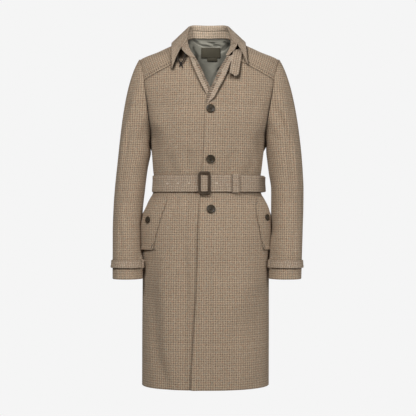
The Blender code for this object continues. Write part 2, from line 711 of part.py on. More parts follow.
def collar():
    along = np.linspace(-1, 1, STAND_COLUMNS)
    seam, roll = collar_line("seam", along), collar_line("roll", along)
    share = np.linspace(0, 1, 4)[:, None, None]
    stand = seam + share * (roll - seam)
    outward = grid_normals(stand)
    wall("collar_stand", stand, stand + outward * CLOTH)

    along = np.linspace(-FALL_END, FALL_END, FALL_COLUMNS)
    roll, edge = collar_line("roll", along), collar_line("edge", along / FALL_END)
    out = roll * np.array([1, 1, 0])
    out = unit(out) * np.array([1, 1, 0])
    start = roll + out * (CLOTH + REST_GAP)
    start[:, 2] += REST_GAP
    knee = roll + out * COLLAR_ROLL_OUT
    knee[:, 2] += COLLAR_ROLL_UP
    share = np.linspace(0, 1, 8)[:, None, None]
    fall = (1 - share) ** 2 * start + 2 * share * (1 - share) * knee + share ** 2 * edge
    outward = grid_normals(fall)
    wall("collar_fall", fall, fall + outward * CLOTH)


def throat():
    share = np.linspace(0, 1, 10)[:, None]
    across = np.linspace(-0.5, 0.5, 5)[None, :]
    past = (share - TAB_ROUND_FROM).clip(0) / (1 - TAB_ROUND_FROM)
    x = TAB_TOP_X + share * (TAB_TIP_X - TAB_TOP_X) + across * TAB_WIDTH * np.sqrt(1 - TAB_ROUNDNESS * past ** 2)
    height = TAB_TOP_Z + share * (TAB_TIP_Z - TAB_TOP_Z) - across * TAB_SLANT
    skin_wall("throat_tab", turn_at(x, height), height, TAB_LIFT + TAB_FLARE * share + 0 * x, CLOTH)

    step = np.linspace(0, LOOP_ROUTE.keys[-1], LOOP_CORD_POINTS)
    height = LOOP_ROUTE.at("height", step)
    turn = turn_at(LOOP_ROUTE.at("x", step), height)
    cord("throat_loop", skin(turn, height, LOOP_ROUTE.at("lift", step)), LOOP_CORD_RADIUS, LEATHER)


def cord(name, centres, radius, colour):
    """A round cord along a line of points, with closed ends."""
    curve = bpy.data.curves.new(name, "CURVE")
    curve.dimensions = "3D"
    curve.bevel_depth = radius
    curve.bevel_resolution = 2
    curve.use_fill_caps = True
    spline = curve.splines.new("POLY")
    spline.points.add(len(centres) - 1)
    for point, place in zip(spline.points, centres):
        point.co = (*place, 1)
    curve.materials.append(material(name, colour, 0.6))
    made = bpy.data.objects.new(name, curve)
    bpy.context.collection.objects.link(made)
    made.parent = COAT


def ring_solid(name, grid, colour, roughness):
    """A closed body from a grid that joins up both ways."""
    rows, columns = grid.shape[:2]
    faces = []
    for row in range(rows):
        for column in range(columns):
            after, beside = (row + 1) % rows, (column + 1) % columns
            faces.append([row * columns + column, row * columns + beside,
                          after * columns + beside, after * columns + column])
    return solid(name, grid.reshape(-1, 3), faces, colour, roughness)


def belt_lift(turn):
    return BELT_STAND.at("lift", (np.degrees(turn) + 90) % 360 - 90)


def belt():
    height = BELT_Z + BELT_WIDTH / 2 * np.array([[-1.0], [0.0], [1.0]])
    turn = np.linspace(0, 2 * math.pi, 57)[None, :-1]
    lift = belt_lift(turn) + 0 * height
    skin_wall("belt", turn + 0 * height, height + 0 * turn, lift, BELT_CLOTH, closed=True)
    turn = np.linspace(BELT_TAIL_FROM, BELT_TAIL_TO, 22)[None, :]
    lift = belt_lift(turn) + BELT_CLOTH + REST_GAP + 0 * height
    droop = BELT_TAIL_DROOP * smooth_step((math.pi / 2 - turn) / math.pi)
    skin_wall("belt_tail", turn + 0 * height, height - droop, lift, STRAP_CLOTH)

    x = np.linspace(KEEPER_FROM, KEEPER_TO, 3)[None, :]
    turn = turn_at(x, BELT_Z)
    grids = []
    for cloth in (FACING_CLOTH, 0.0):
        half = BELT_WIDTH / 2 + KEEPER_PLAY + cloth
        over = belt_lift(turn) + BELT_CLOTH + STRAP_CLOTH + 3 * REST_GAP + cloth
        lift = np.concatenate([KEEPER_DEPTH + 0 * over, over, over, KEEPER_DEPTH + 0 * over])
        grid = skin(turn + 0 * lift, BELT_Z, lift)
        grid[..., 2] = BELT_Z + np.array([[-half], [-half], [half], [half]])
        grids.append(grid)
    wall("belt_keeper", *grids)


def buckle():
    """A flat rounded frame in front of the belt."""
    centre_turn = turn_at(BUCKLE_X, BELT_Z)
    lift = belt_lift(centre_turn) + BELT_CLOTH + STRAP_CLOTH + 3 * REST_GAP + BUCKLE_DEPTH / 2
    centre = skin(centre_turn, BELT_Z, lift)
    reach_x = BUCKLE_WIDTH / 2 - BUCKLE_BAR / 2 - BUCKLE_CORNER
    reach_z = BUCKLE_HEIGHT / 2 - BUCKLE_BAR / 2 - BUCKLE_CORNER
    path = []
    for quarter, (sign_x, sign_z) in enumerate(((1, 1), (-1, 1), (-1, -1), (1, -1))):
        for step in range(4):
            angle = math.pi / 2 * (quarter + step / 3)
            out_x, out_z = math.cos(angle), math.sin(angle)
            path.append((sign_x * reach_x + BUCKLE_CORNER * out_x,
                         sign_z * reach_z + BUCKLE_CORNER * out_z, out_x, out_z))
    grid = []
    for step in range(8):
        angle = 2 * math.pi * (step + 0.5) / 8
        cosine, sine = math.cos(angle), math.sin(angle)
        out = BUCKLE_BAR / 2 * math.copysign(abs(cosine) ** BUCKLE_ROUNDNESS, cosine)
        deep = BUCKLE_DEPTH / 2 * math.copysign(abs(sine) ** BUCKLE_ROUNDNESS, sine)
        grid.append([(x + out * out_x, deep, z + out * out_z) for x, z, out_x, out_z in path])
    made = ring_solid("buckle", np.array(grid), LEATHER, 0.5)
    made.location = centre


def pocket_lift(name, turn, height):
    """The inner face of a pocket welt: close along its front line, off the hip at its rear."""
    front = turn_at(POCKET.at(name, height), height)
    spread = (turn - front) / (POCKET_REAR[name] - front)
    return REST_GAP + POCKET.at(name + "_flare", height) * spread ** 2


def pockets():
    rows = PANEL_ROWS[PANEL_ROWS.index(POCKET_BOTTOM_ROW):PANEL_ROWS.index(POCKET_TOP_ROW) + 1]
    height = np.array(rows)[:, None]
    spread = np.linspace(0, 1, 7)[None, :]
    for name in ("left", "right"):
        front = turn_at(POCKET.at(name, height), height)
        turn = front + spread * (POCKET_REAR[name] - front)
        skin_wall(f"pocket_{name}", turn, height + 0 * turn, pocket_lift(name, turn, height), STRAP_CLOTH)


def buttons():
    steps = BUTTON_STEPS
    rings = BUTTON_PROFILE.keys
    angle = 2 * math.pi * np.arange(steps) / steps
    for name, x, height, diameter in BUTTONS:
        out = diameter / 2 * BUTTON_PROFILE.at("radius_share", rings)[:, None]
        level = BUTTON_PROFILE.at("height", rings)[:, None] + 0 * angle
        body = np.stack([out * np.cos(angle), out * np.sin(angle), level], -1).reshape(-1, 3)
        points = np.vstack([[0, 0, level[0, 0]], body, [0, 0, level[-1, 0]]])
        last = len(points) - 1
        faces = []
        for step in range(steps):
            beside = (step + 1) % steps
            faces.append([0, 1 + beside, 1 + step])
            faces.append([last, last - steps + step, last - steps + beside])
            for ring in range(len(rings) - 1):
                low = 1 + ring * steps
                faces.append([low + step, low + beside, low + steps + beside, low + steps + step])
        made = solid(name, points, faces, HORN, 0.35)
        turn = turn_at(x, height)
        if name.startswith("button_pocket_"):
            lift = pocket_lift(name.removeprefix("button_pocket_"), turn, height) + STRAP_CLOTH + REST_GAP
        else:
            lift = overlap_lift(turn, height) + REST_GAP
        seat = skin(turn, height, lift)
        made.location = seat
        made.rotation_mode = "QUATERNION"
        outward = mathutils.Vector(skin(turn, height, lift + diameter) - seat)
        made.rotation_quaternion = outward.to_track_quat("Z", "Y")


for old in list(bpy.data.objects):
    bpy.data.objects.remove(old, do_unlink=True)
COAT = bpy.data.objects.new("coat", None)
bpy.context.collection.objects.link(COAT)
fronts()
yokes()
back_and_lining()
sleeves()
cuffs()
facings()
collar()
throat()
belt()
buckle()
pockets()
buttons()
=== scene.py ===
import math

import bmesh
import bpy
import numpy as np
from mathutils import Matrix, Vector


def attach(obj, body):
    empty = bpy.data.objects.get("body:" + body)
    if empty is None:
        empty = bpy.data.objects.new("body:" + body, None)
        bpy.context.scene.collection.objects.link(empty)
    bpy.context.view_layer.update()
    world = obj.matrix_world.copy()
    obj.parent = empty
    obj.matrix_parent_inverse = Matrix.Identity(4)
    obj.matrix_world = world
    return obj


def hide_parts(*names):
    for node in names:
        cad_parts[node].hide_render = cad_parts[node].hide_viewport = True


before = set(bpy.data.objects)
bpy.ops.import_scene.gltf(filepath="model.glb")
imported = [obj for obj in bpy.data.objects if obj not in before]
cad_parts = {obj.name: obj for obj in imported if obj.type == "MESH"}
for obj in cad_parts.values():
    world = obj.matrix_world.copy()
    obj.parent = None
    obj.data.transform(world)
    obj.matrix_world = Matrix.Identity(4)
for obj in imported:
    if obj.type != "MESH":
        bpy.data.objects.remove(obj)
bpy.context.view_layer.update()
print("frame loaded:", len(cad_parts), "solids")

# lengths are in metres, or in millimetres inside mm; the coat faces -Y and the wearer's left is +X

cloth = {"shell": 0.0022, "facing": 0.0018, "strap": 0.0026, "belt": 0.003, "lining": 0.001,
         "rest": 0.0007, "strapGap": 0.0019, "seam": 0.0003}

levels = {"hem": -1.068, "armpit": -0.315, "shoulder": -0.071, "neck": 0.004, "backNeck": 0.011,
          "belt": -0.45, "underBelt": -0.4755, "underPocket": -0.6505, "biceps": -0.357, "cuff": -0.739,
          "strapLow": -0.7053}
sideNames = {1: "left", -1: "right"}


def mm(rows):
    return np.array(rows) / 1000


# tables of sizes, read between the rows by a cubic that never overshoots
def sizeTable(columns, rows):
    rows = np.array(rows, float)
    rows = rows[np.argsort(rows[:, 0])]
    slopes = np.diff(rows, axis=0) / np.diff(rows[:, 0])[:, None]
    before, after = slopes[:-1], slopes[1:]
    sameWay = before * after > 0
    mean = 2 * before * after / np.where(sameWay, before + after, 1)
    tangents = np.vstack([slopes[:1], np.where(sameWay, mean, 0), slopes[-1:]])
    return {"names": columns.split(), "rows": rows, "tangents": tangents}


def sizeAt(table, column, key):
    pick = table["names"].index(column)
    keys, values, tangents = table["rows"][:, 0], table["rows"][:, pick], table["tangents"][:, pick]
    key = np.clip(key, keys[0], keys[-1])
    row = np.clip(np.searchsorted(keys, key, "right") - 1, 0, len(keys) - 2)
    step = keys[row + 1] - keys[row]
    t = (key - keys[row]) / step
    return ((1 + 2 * t) * (1 - t) ** 2 * values[row] + t * (1 - t) ** 2 * step * tangents[row]
            + t * t * (3 - 2 * t) * values[row + 1] - t * t * (1 - t) * step * tangents[row + 1])


def smoothStep(t):
    t = np.clip(t, 0, 1)
    return t * t * (3 - 2 * t)


def findZero(rising, low, high):
    for _ in range(40):
        middle = (low + high) / 2
        below = rising(middle) < 0
        low = np.where(below, middle, low)
        high = np.where(below, high, middle)
    return (low + high) / 2


def unit(vectors):
    return vectors / np.maximum(np.linalg.norm(vectors, axis=-1, keepdims=True), 1e-12)


# a soft hump of height 1 at no distance
def bell(distance, width):
    return np.exp(-(distance / width) ** 2)


# soft steps from 0 at the start to 1 a span above it, or below it
def above(value, start, span):
    return smoothStep((value - start) / span)


def below(value, start, span):
    return smoothStep((start - value) / span)


def rounded(value, power):
    return np.sign(value) * np.abs(value) ** power


# the coat's level sections, from hem to neck
body = sizeTable("height halfWidth frontDepth backDepth centre", mm([
    (-1068, 196, 140, 142, -12),
    (-900, 196, 139, 141, -11.5),
    (-750, 195.5, 138, 140, -11),
    (-650, 197.5, 136, 139, -10),
    (-590, 198.5, 133, 137, -9.3),
    (-545, 193.5, 127, 131, -8.3),
    (-510, 182.5, 120, 123, -7.5),
    (-485, 170.5, 115, 117, -7.2),
    (-473, 166.2, 113.5, 115.5, -7),
    (-450, 165, 113, 115, -6.8),
    (-427, 165.2, 113.5, 115.5, -6.5),
    (-410, 167.4, 117, 118, -6.2),
    (-357, 172.5, 126, 127, -5.1),
    (-315, 178, 131, 133, -4.5),
    (-260, 200, 132, 137, -3.5),
    (-200, 215, 126, 136, -2),
    (-150, 220, 116, 131, -1),
    (-110, 221, 104, 122, 0),
    (-71, 217, 87, 106, 0),
    (-40, 153.5, 68, 90, 0),
    (-12, 97.5, 54, 79, 0),
    (4, 79, 50, 74.5, 0),
    (16, 75.5, 49, 71, 0),
]))
bodyPower = 2 / 2.3

# front edges below the top button, fold lines above it, then the neck
edges = sizeTable("height left right", mm([
    (-1068, -54, 30),
    (-900, -45, 32),
    (-750, -36, 34),
    (-500, -28.5, 36),
    (-420, -22, 36),
    (-300, -14.5, 36),
    (-240, -12.6, 34),
    (-217, -9.5, 25.5),
    (-190, -3, 12.5),
    (-167, 4.5, 2),
    (-142, 16.5, -9.6),
    (-106, 32.5, -25.5),
    (-69, 53, -44.5),
    (-55.7, 60, -53),
    (-40, 67, -63),
    (-20, 73.5, -72),
    (4, 79, -79),
]))


def bodyPoints(turn, height):
    cosine, sine = np.cos(turn), np.sin(turn)
    depth = np.where(sine > 0, sizeAt(body, "frontDepth", height), sizeAt(body, "backDepth", height))
    x = sizeAt(body, "centre", height) + sizeAt(body, "halfWidth", height) * rounded(cosine, bodyPower)
    return np.stack([x, -depth * rounded(sine, bodyPower), height + 0 * turn], -1)


def bodyOut(turn, height):
    around = bodyPoints(turn + 0.01, height) - bodyPoints(turn - 0.01, height)
    upward = bodyPoints(turn, height + 0.002) - bodyPoints(turn, height - 0.002)
    return unit(np.cross(upward, around))


def skinAt(turn, height, lift=0.0):
    turn, height = np.broadcast_arrays(np.asarray(turn, float), np.asarray(height, float))
    return bodyPoints(turn, height) + bodyOut(turn, height) * np.broadcast_to(lift, turn.shape)[..., None]


def turnAt(x, height):
    share = np.clip((x - sizeAt(body, "centre", height)) / sizeAt(body, "halfWidth", height), -1, 1)
    return np.arccos(rounded(share, 1 / bodyPower))


def reachAt(turn, height):
    return sizeAt(body, "halfWidth", height) * np.abs(np.cos(turn)) ** bodyPower


# both faces of a cloth whose outer face lies this far off the coat
def skinPair(turn, height, lift, thick):
    return skinAt(turn, height, lift), skinAt(turn, height, lift - thick)


# distance round the coat at each level, so the check hangs straight
arcTurns = np.linspace(-math.pi, math.pi, 721)
arcHeights = np.linspace(levels["hem"], 0.016, 120)
arcLoops = bodyPoints(arcTurns[None, :], arcHeights[:, None])
arcSums = np.cumsum(np.linalg.norm(np.diff(arcLoops, axis=1), axis=-1), axis=1)
arcSums = np.hstack([0 * arcSums[:, :1], arcSums])


def levelArc(turn, height):
    turn = (turn + math.pi) % (2 * math.pi) - math.pi
    column = np.clip((turn - arcTurns[0]) / (arcTurns[1] - arcTurns[0]), 0, len(arcTurns) - 1.001)
    row = np.clip((height - arcHeights[0]) / (arcHeights[1] - arcHeights[0]), 0, len(arcHeights) - 1.001)
    c, r = column.astype(int), row.astype(int)
    fc, fr = column - c, row - r
    low = arcSums[r, c] * (1 - fc) + arcSums[r, c + 1] * fc
    high = arcSums[r + 1, c] * (1 - fc) + arcSums[r + 1, c + 1] * fc
    return low * (1 - fr) + high * fr


def bodyUv(turn, height, middle):
    turn, height = np.broadcast_arrays(turn, height)
    return np.stack([levelArc(turn, height) - levelArc(middle + 0 * turn, height), height], -1)


def gridUv(grid, closed=False):
    if closed:
        grid = np.concatenate([grid, grid[:, :1]], axis=1)
    across = np.cumsum(np.linalg.norm(np.diff(grid, axis=1), axis=-1), axis=1)
    across = np.hstack([0 * across[:, :1], across])
    down = np.cumsum(np.linalg.norm(np.diff(grid, axis=0), axis=-1), axis=0)
    down = np.vstack([0 * down[:1], down]).mean(axis=1, keepdims=True) + 0 * across
    return np.stack([across - across[:, across.shape[1] // 2][:, None], down], -1)


# how a crease wavers: share of its width, waves along it, shift from one crease to the next
creaseWaver = {"slow": (0.3, 5.1, 1.7), "quick": (0.15, 11.3, 1.0), "spread": (0.25, 3.7, 2.3)}
creaseEnds = {"past": 0.15, "fade": 0.45}


# soft uneven creases: each runs from one place to another, with a width and a signed height
def creaseField(a, b, creases):
    total = np.zeros(np.broadcast(a, b).shape)
    for number, (a0, b0, a1, b1, width, height) in enumerate(creases):
        da, db = a1 - a0, b1 - b0
        length = math.hypot(da, db)
        t = ((a - a0) * da + (b - b0) * db) / length ** 2
        off = ((a - a0) * db - (b - b0) * da) / length
        waver = {kind: share * np.sin(waves * t + shift * number)
                 for kind, (share, waves, shift) in creaseWaver.items()}
        off = off + width * (waver["slow"] + waver["quick"])
        ends = smoothStep((t + creaseEnds["past"]) / creaseEnds["fade"]) \
            * smoothStep((1 + creaseEnds["past"] - t) / creaseEnds["fade"])
        total = total + height * ends * bell(off, width * (1 + waver["spread"]))
    return total


def makePiece(name, points, faces, materials, uv=None, faceMaterial=None, shade=None):
    mesh = bpy.data.meshes.new(name)
    faces = [[int(v) for v in face] for face in faces]
    mesh.from_pydata(np.asarray(points, float).tolist(), [], faces)
    for finish in materials:
        mesh.materials.append(finish)
    if uv is not None:
        mesh.uv_layers.new(name="cloth").data.foreach_set("uv", np.asarray(uv, float).ravel())
    if shade is not None:
        tones = mesh.attributes.new("shade", "FLOAT", "POINT").data
        tones.foreach_set("value", np.asarray(shade, np.float32))
    if faceMaterial is not None:
        mesh.polygons.foreach_set("material_index", np.asarray(faceMaterial, np.int32))
    work = bmesh.new()
    work.from_mesh(mesh)
    bmesh.ops.recalc_face_normals(work, faces=work.faces)
    work.to_mesh(mesh)
    work.free()
    mesh.shade_smooth()
    piece = bpy.data.objects.new(name, mesh)
    bpy.context.collection.objects.link(piece)
    return piece


def gridQuads(grid):
    return np.stack([grid[:-1, :-1], grid[:-1, 1:], grid[1:, 1:], grid[1:, :-1]], -1).reshape(-1, 4)


# a sheet with two faces and a rounded edge; closed joins the first and last columns
def clothShell(name, outer, inner, uv, materials, closed=False, roundness=0.4, second=None, shade=None):
    rows, columns = outer.shape[:2]
    count = rows * columns
    outer, inner, flatUv = outer.reshape(-1, 3), inner.reshape(-1, 3), uv.reshape(-1, 2)
    index = np.arange(count).reshape(rows, columns)
    if closed:
        index = np.hstack([index, index[:, :1]])
    corner = np.arange(index.size).reshape(index.shape)
    faces, corners = gridQuads(index), gridQuads(corner)
    allFaces, allUv = [faces, faces[:, ::-1] + count], [flatUv[corners], flatUv[corners[:, ::-1]]]
    slots = [np.zeros(len(faces), int), np.full(len(faces), len(materials) - 1)]
    if second is not None:
        slots[0][second[:-1, :-1].ravel()] = 1
    if closed:
        loops = [(index[0], index[1], corner[0]), (index[-1], index[-2], corner[-1])]
    else:
        loop = np.concatenate([index[0, :-1], index[:-1, -1], index[-1, :0:-1], index[::-1, 0]])
        within = np.concatenate([index[1, :-1], index[:-1, -2], index[-2, :0:-1], index[::-1, 1]])
        loops = [(loop, within, loop)]
    points, start = [outer, inner], 2 * count
    tones = None if shade is None else [shade.ravel(), shade.ravel()]
    for loop, within, place in loops:
        ids = loop[:-1]
        edge = unit(outer[ids] - outer[within[:-1]])
        thick = np.linalg.norm(outer[ids] - inner[ids], axis=-1, keepdims=True)
        points.append((outer[ids] + inner[ids]) / 2 + edge * thick * roundness)
        if shade is not None:
            tones.append(shade.ravel()[ids])
        middle = np.append(np.arange(len(ids)), 0) + start
        start += len(ids)
        rimUv = flatUv[np.stack([place[:-1], place[1:], place[1:], place[:-1]], -1)]
        for one, other in ((loop, middle), (middle, loop + count)):
            allFaces.append(np.stack([one[:-1], one[1:], other[1:], other[:-1]], -1))
            allUv.append(rimUv)
            slots.append(np.zeros(len(ids), int))
    return makePiece(name, np.concatenate(points), np.concatenate(allFaces), materials, np.concatenate(allUv),
                     np.concatenate(slots), None if shade is None else np.concatenate(tones))


def dress(piece, slotName, *nodes):
    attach(piece, "root")
    if nodes:
        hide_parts(*nodes)
    return piece


# a cut piece in place of its solid; sheet is the width, length and area of what shows, laid flat, and is not
# used
def clothPiece(node, outer, inner, uv, materials, sheet, held, *restsOn, slotName="tweed", **form):
    piece = dress(clothShell(f"{node}_cloth", outer, inner, uv, materials, **form), slotName, node)


# each stitch is a small pointed roll lying on the cloth: places along it, its girth there
stitchRoll = {"sides": 6, "along": (-0.5, -0.36, 0.0, 0.36, 0.5), "girth": (0.25, 0.85, 1.0, 0.85, 0.25),
              "flat": 0.7, "raised": 0.25}


def stitchRun(name, places, along, out, length, radius, material, slotName="tweed"):
    sides, rings = stitchRoll["sides"], len(stitchRoll["along"])
    step, girth = (np.array(stitchRoll[key])[:, None, None] for key in ("along", "girth"))
    angle = (2 * math.pi * np.arange(sides) / sides)[:, None]
    place, ahead, beside, up = (each[:, None, None] for each in (places, along, np.cross(along, out), out))
    points = place + ahead * step * length + beside * np.cos(angle) * radius * girth \
        + up * (np.sin(angle) * stitchRoll["flat"] + stitchRoll["raised"]) * radius * girth
    index = np.arange(len(places) * rings * sides).reshape(-1, rings, sides)
    beyond, ends = np.roll(index, -1, axis=2), index[:, [0, -1]].reshape(-1, sides)
    rolls = np.stack([index[:, :-1], beyond[:, :-1], beyond[:, 1:], index[:, 1:]], -1).reshape(-1, 4)
    faces = np.concatenate([rolls, ends[:, [0, 1, 2, 3]], ends[:, [0, 3, 4, 5]]])
    return dress(makePiece(name, points.reshape(-1, 3), faces, [material]), slotName)


# evenly spaced places along a line of points
def spacedAlong(line, out, gap):
    steps = np.diff(line, axis=0)
    run = np.append(0, np.cumsum(np.linalg.norm(steps, axis=-1)))
    count = max(2, int(run[-1] / gap))
    at = (np.arange(count) + 0.5) * run[-1] / count

    def pick(places, values):
        return np.stack([np.interp(at, places, values[:, k]) for k in range(3)], -1)

    return pick(run, line), unit(pick((run[1:] + run[:-1]) / 2, unit(steps))), unit(pick(run, out))


# a sewn line of stitches, or a tack of stitches across it: spacing, length and radius of each
def sewLine(name, line, out, stitch, thread, slotName="tweed", tack=False):
    gap, length, radius = stitch
    places, along, up = spacedAlong(line, out, gap)
    stitchRun(name, places, np.cross(along, up) if tack else along, up, length, radius, thread, slotName)


# rings of points joined into a tube, with a fan to a last point at each end
def tubeFaces(rings, sides):
    index = np.arange(rings * sides).reshape(rings, sides)
    index = np.hstack([index, index[:, :1]])
    faces = gridQuads(index).tolist()
    for ring, tip in ((index[0], rings * sides), (index[-1], rings * sides + 1)):
        faces += [[one, other, tip] for one, other in zip(ring[:-1], ring[1:])]
    return faces


tubeAside = np.array([0.12, -1.0, 0.05])   # a direction that no tube here runs in


def roundTube(name, line, radius, materials, sides=8):
    line = np.asarray(line, float)
    ahead = unit(np.gradient(line, axis=0))
    side = unit(np.cross(ahead, tubeAside))
    up = np.cross(ahead, side)
    radius = np.broadcast_to(radius, len(line))[:, None]
    angles = 2 * math.pi * np.arange(sides) / sides
    grid = np.stack([line + (side * math.cos(a) + up * math.sin(a)) * radius for a in angles], 1)
    tips = [line[:1] - ahead[:1] * radius[:1] / 2, line[-1:] + ahead[-1:] * radius[-1:] / 2]
    return makePiece(name, np.vstack([grid.reshape(-1, 3), *tips]), tubeFaces(len(line), sides), materials)


# node helpers: feed puts a number on a socket or links another node into it
def feed(socket, value):
    if isinstance(value, bpy.types.NodeSocket):
        socket.id_data.links.new(value, socket)
    else:
        socket.default_value = value


# a new node in the tree of the values it takes
def nodeFor(kind, *values):
    tree = next(value.id_data for value in values if isinstance(value, bpy.types.NodeSocket))
    return tree.nodes.new("ShaderNode" + kind)


def calc(operation, *values):
    node = nodeFor("Math", *values)
    node.operation = operation
    for socket, value in zip(node.inputs, values):
        feed(socket, value)
    return node.outputs[0]


# a value moved by how far a noise stands from its middle
def vary(value, noise, amount):
    return calc("MULTIPLY_ADD", calc("SUBTRACT", noise, 0.5), amount, value)


def choose(share, first, second):
    return calc("MULTIPLY_ADD", share, calc("SUBTRACT", first, second), second)


def clamped(value):
    return calc("MINIMUM", calc("MAXIMUM", value, 0.0), 1.0)


def noiseAt(place, scale, detail, roughness=0.55):
    node = nodeFor("TexNoise", place)
    for label, value in (("Vector", place), ("Scale", scale), ("Detail", detail), ("Roughness", roughness)):
        feed(node.inputs[label], value)
    return node.outputs["Fac"]


def mixColours(share, first, second):
    node = nodeFor("Mix", share, first, second)
    node.data_type = "RGBA"
    for number, value in ((0, share), (6, first), (7, second)):
        feed(node.inputs[number], value)
    return node.outputs[2]


def scaleColour(colour, factor):
    node = nodeFor("VectorMath", colour, factor)
    node.operation = "SCALE"
    feed(node.inputs[0], colour)
    feed(node.inputs["Scale"], factor)
    return node.outputs[0]


# a group takes a place, colours and numbers, and puts out a colour and numbers
def newGroup(name, colours, numbers, results):
    group = bpy.data.node_groups.new(name, "ShaderNodeTree")
    for way, kind, labels in (("INPUT", "Vector", "Place"), ("INPUT", "Color", colours),
                              ("INPUT", "Float", numbers), ("OUTPUT", "Color", "Color"),
                              ("OUTPUT", "Float", results)):
        for label in labels.split():
            group.interface.new_socket(label, in_out=way, socket_type="NodeSocket" + kind)
    return group, group.nodes.new("NodeGroupInput").outputs, group.nodes.new("NodeGroupOutput").inputs


# small houndstooth in a two-and-two twill: four light yarns, four dark ones, both ways
weave = {"repeat": 8.0, "lastLight": 3.5, "weftDark": 0.78, "twill": 4.0, "lastOnTop": 1.5, "drift": 2.2,
         "weftNames": 517.3, "yarnTone": 0.34, "fibreTone": 1.0, "slubTone": 0.8, "blotchTone": 0.16,
         "faint": (1.3, 0.42), "dyedFrom": 0.52, "dyedGain": 5.0, "dyed": 0.56, "fleckFrom": 0.64,
         "fleck": 0.6, "fibreHeight": 0.6, "yarnHeight": 1.3}
weaveNoises = {"drift": (55.0, 2.0), "fibre": (900.0, 3.0, 0.7), "blotch": (9.0, 2.0),
               "slub": (260.0, 2.0, 0.6), "faint": (120.0, 2.0, 0.6), "Rust": (165.0, 2.0, 0.6),
               "Cool": (140.0, 2.0, 0.6), "fleck": (420.0, 1.0)}


def buildTweedWeave():
    tree, given, out = newGroup("tweedWeave", "Light Dark Fleck Rust Cool Deep", "Yarn Uneven Shade",
                                "Height")
    split = tree.nodes.new("ShaderNodeSeparateXYZ")
    feed(split.inputs[0], given["Place"])
    noise = {name: noiseAt(given["Place"], *numbers) for name, numbers in weaveNoises.items()}
    across, down = (vary(calc("DIVIDE", split.outputs[axis], given["Yarn"]), noise["drift"], drift)
                    for axis, drift in ((0, weave["drift"]), (1, -weave["drift"])))
    warp, weft = calc("FLOOR", across), calc("FLOOR", down)
    warpDark, weftDark = (calc("GREATER_THAN", calc("FLOORED_MODULO", yarn, weave["repeat"]),
                               weave["lastLight"]) for yarn in (warp, weft))
    weftDark = calc("MULTIPLY", weftDark, weave["weftDark"])
    diagonal = calc("FLOORED_MODULO", calc("SUBTRACT", warp, weft), weave["twill"])
    warpOnTop = calc("LESS_THAN", diagonal, weave["lastOnTop"])
    perYarn = tree.nodes.new("ShaderNodeTexWhiteNoise")
    perYarn.noise_dimensions = "1D"
    weftName = calc("ADD", weft, weave["weftNames"])
    feed(perYarn.inputs["W"], choose(warpOnTop, warp, weftName))
    tone = vary(1.0, perYarn.outputs["Value"], weave["yarnTone"])
    tone = vary(tone, noise["fibre"], weave["fibreTone"])
    tone = vary(tone, noise["slub"], weave["slubTone"])
    tone = vary(tone, noise["blotch"], calc("MULTIPLY", given["Uneven"], weave["blotchTone"]))
    faint = calc("MULTIPLY_ADD", noise["faint"], *weave["faint"])
    dark = calc("MULTIPLY", choose(warpOnTop, warpDark, weftDark), faint)
    colour = scaleColour(mixColours(dark, given["Light"], given["Dark"]), tone)
    for dye in ("Rust", "Cool"):
        share = calc("MULTIPLY", calc("SUBTRACT", noise[dye], weave["dyedFrom"]), weave["dyedGain"])
        share = calc("MULTIPLY", clamped(share), weave["dyed"])
        colour = mixColours(share, colour, given[dye])
    fleck = calc("MULTIPLY", calc("GREATER_THAN", noise["fleck"], weave["fleckFrom"]), weave["fleck"])
    colour = mixColours(fleck, colour, given["Fleck"])
    # painted shade: the cloth's shade attribute mixes the colour toward a deep brown
    feed(out["Color"], mixColours(given["Shade"], colour, given["Deep"]))
    yarnRound = choose(warpOnTop, calc("PINGPONG", across, 0.5), calc("PINGPONG", down, 0.5))
    yarnRound = calc("MULTIPLY", yarnRound, weave["yarnHeight"])
    feed(out["Height"], calc("MULTIPLY_ADD", noise["fibre"], weave["fibreHeight"], yarnRound))
    return tree


# close satin twill for the linings and the woven label: its ribs are lightened toward a painted sheen, and
# the shade attribute darkens it with painted shade
twill = {"slope": 0.5, "thread": (600.0, 2.0), "cloud": (22.0, 2.0), "rib": 0.9, "threadShare": 0.3,
         "tone": (0.3, 0.85), "threadHeight": 0.5, "rough": (0.18, 0.34)}


def buildFineTwill():
    tree, given, out = newGroup("fineTwill", "Base Glint", "Yarn Shade", "Height Roughness")
    split = tree.nodes.new("ShaderNodeSeparateXYZ")
    feed(split.inputs[0], given["Place"])
    slope = calc("MULTIPLY_ADD", split.outputs[1], twill["slope"], split.outputs[0])
    rib = calc("PINGPONG", calc("DIVIDE", slope, given["Yarn"]), 0.5)
    thread, cloud = (noiseAt(given["Place"], *twill[name]) for name in ("thread", "cloud"))
    share = calc("MULTIPLY_ADD", rib, twill["rib"], calc("MULTIPLY", thread, twill["threadShare"]))
    colour = mixColours(share, given["Base"], given["Glint"])
    tone = calc("MULTIPLY_ADD", cloud, *twill["tone"])
    tone = calc("MULTIPLY", tone, calc("SUBTRACT", 1.0, given["Shade"]))
    feed(out["Color"], scaleColour(colour, tone))
    feed(out["Height"], calc("MULTIPLY_ADD", thread, twill["threadHeight"], rib))
    feed(out["Roughness"], calc("MULTIPLY_ADD", cloud, *twill["rough"]))
    return tree


# clouded, streaky tone for horn, leather, the dark undercollar felt, thread and cord
mottling = {"stretch": (1.0, 1.0, 0.35), "cloud": (1.0, 4.0, 0.6), "grain": (4.5, 3.0, 0.6),
            "streaks": (2.2, -0.6), "tone": (0.5, 0.75), "grainHeight": 0.6, "cloudHeight": 0.4}


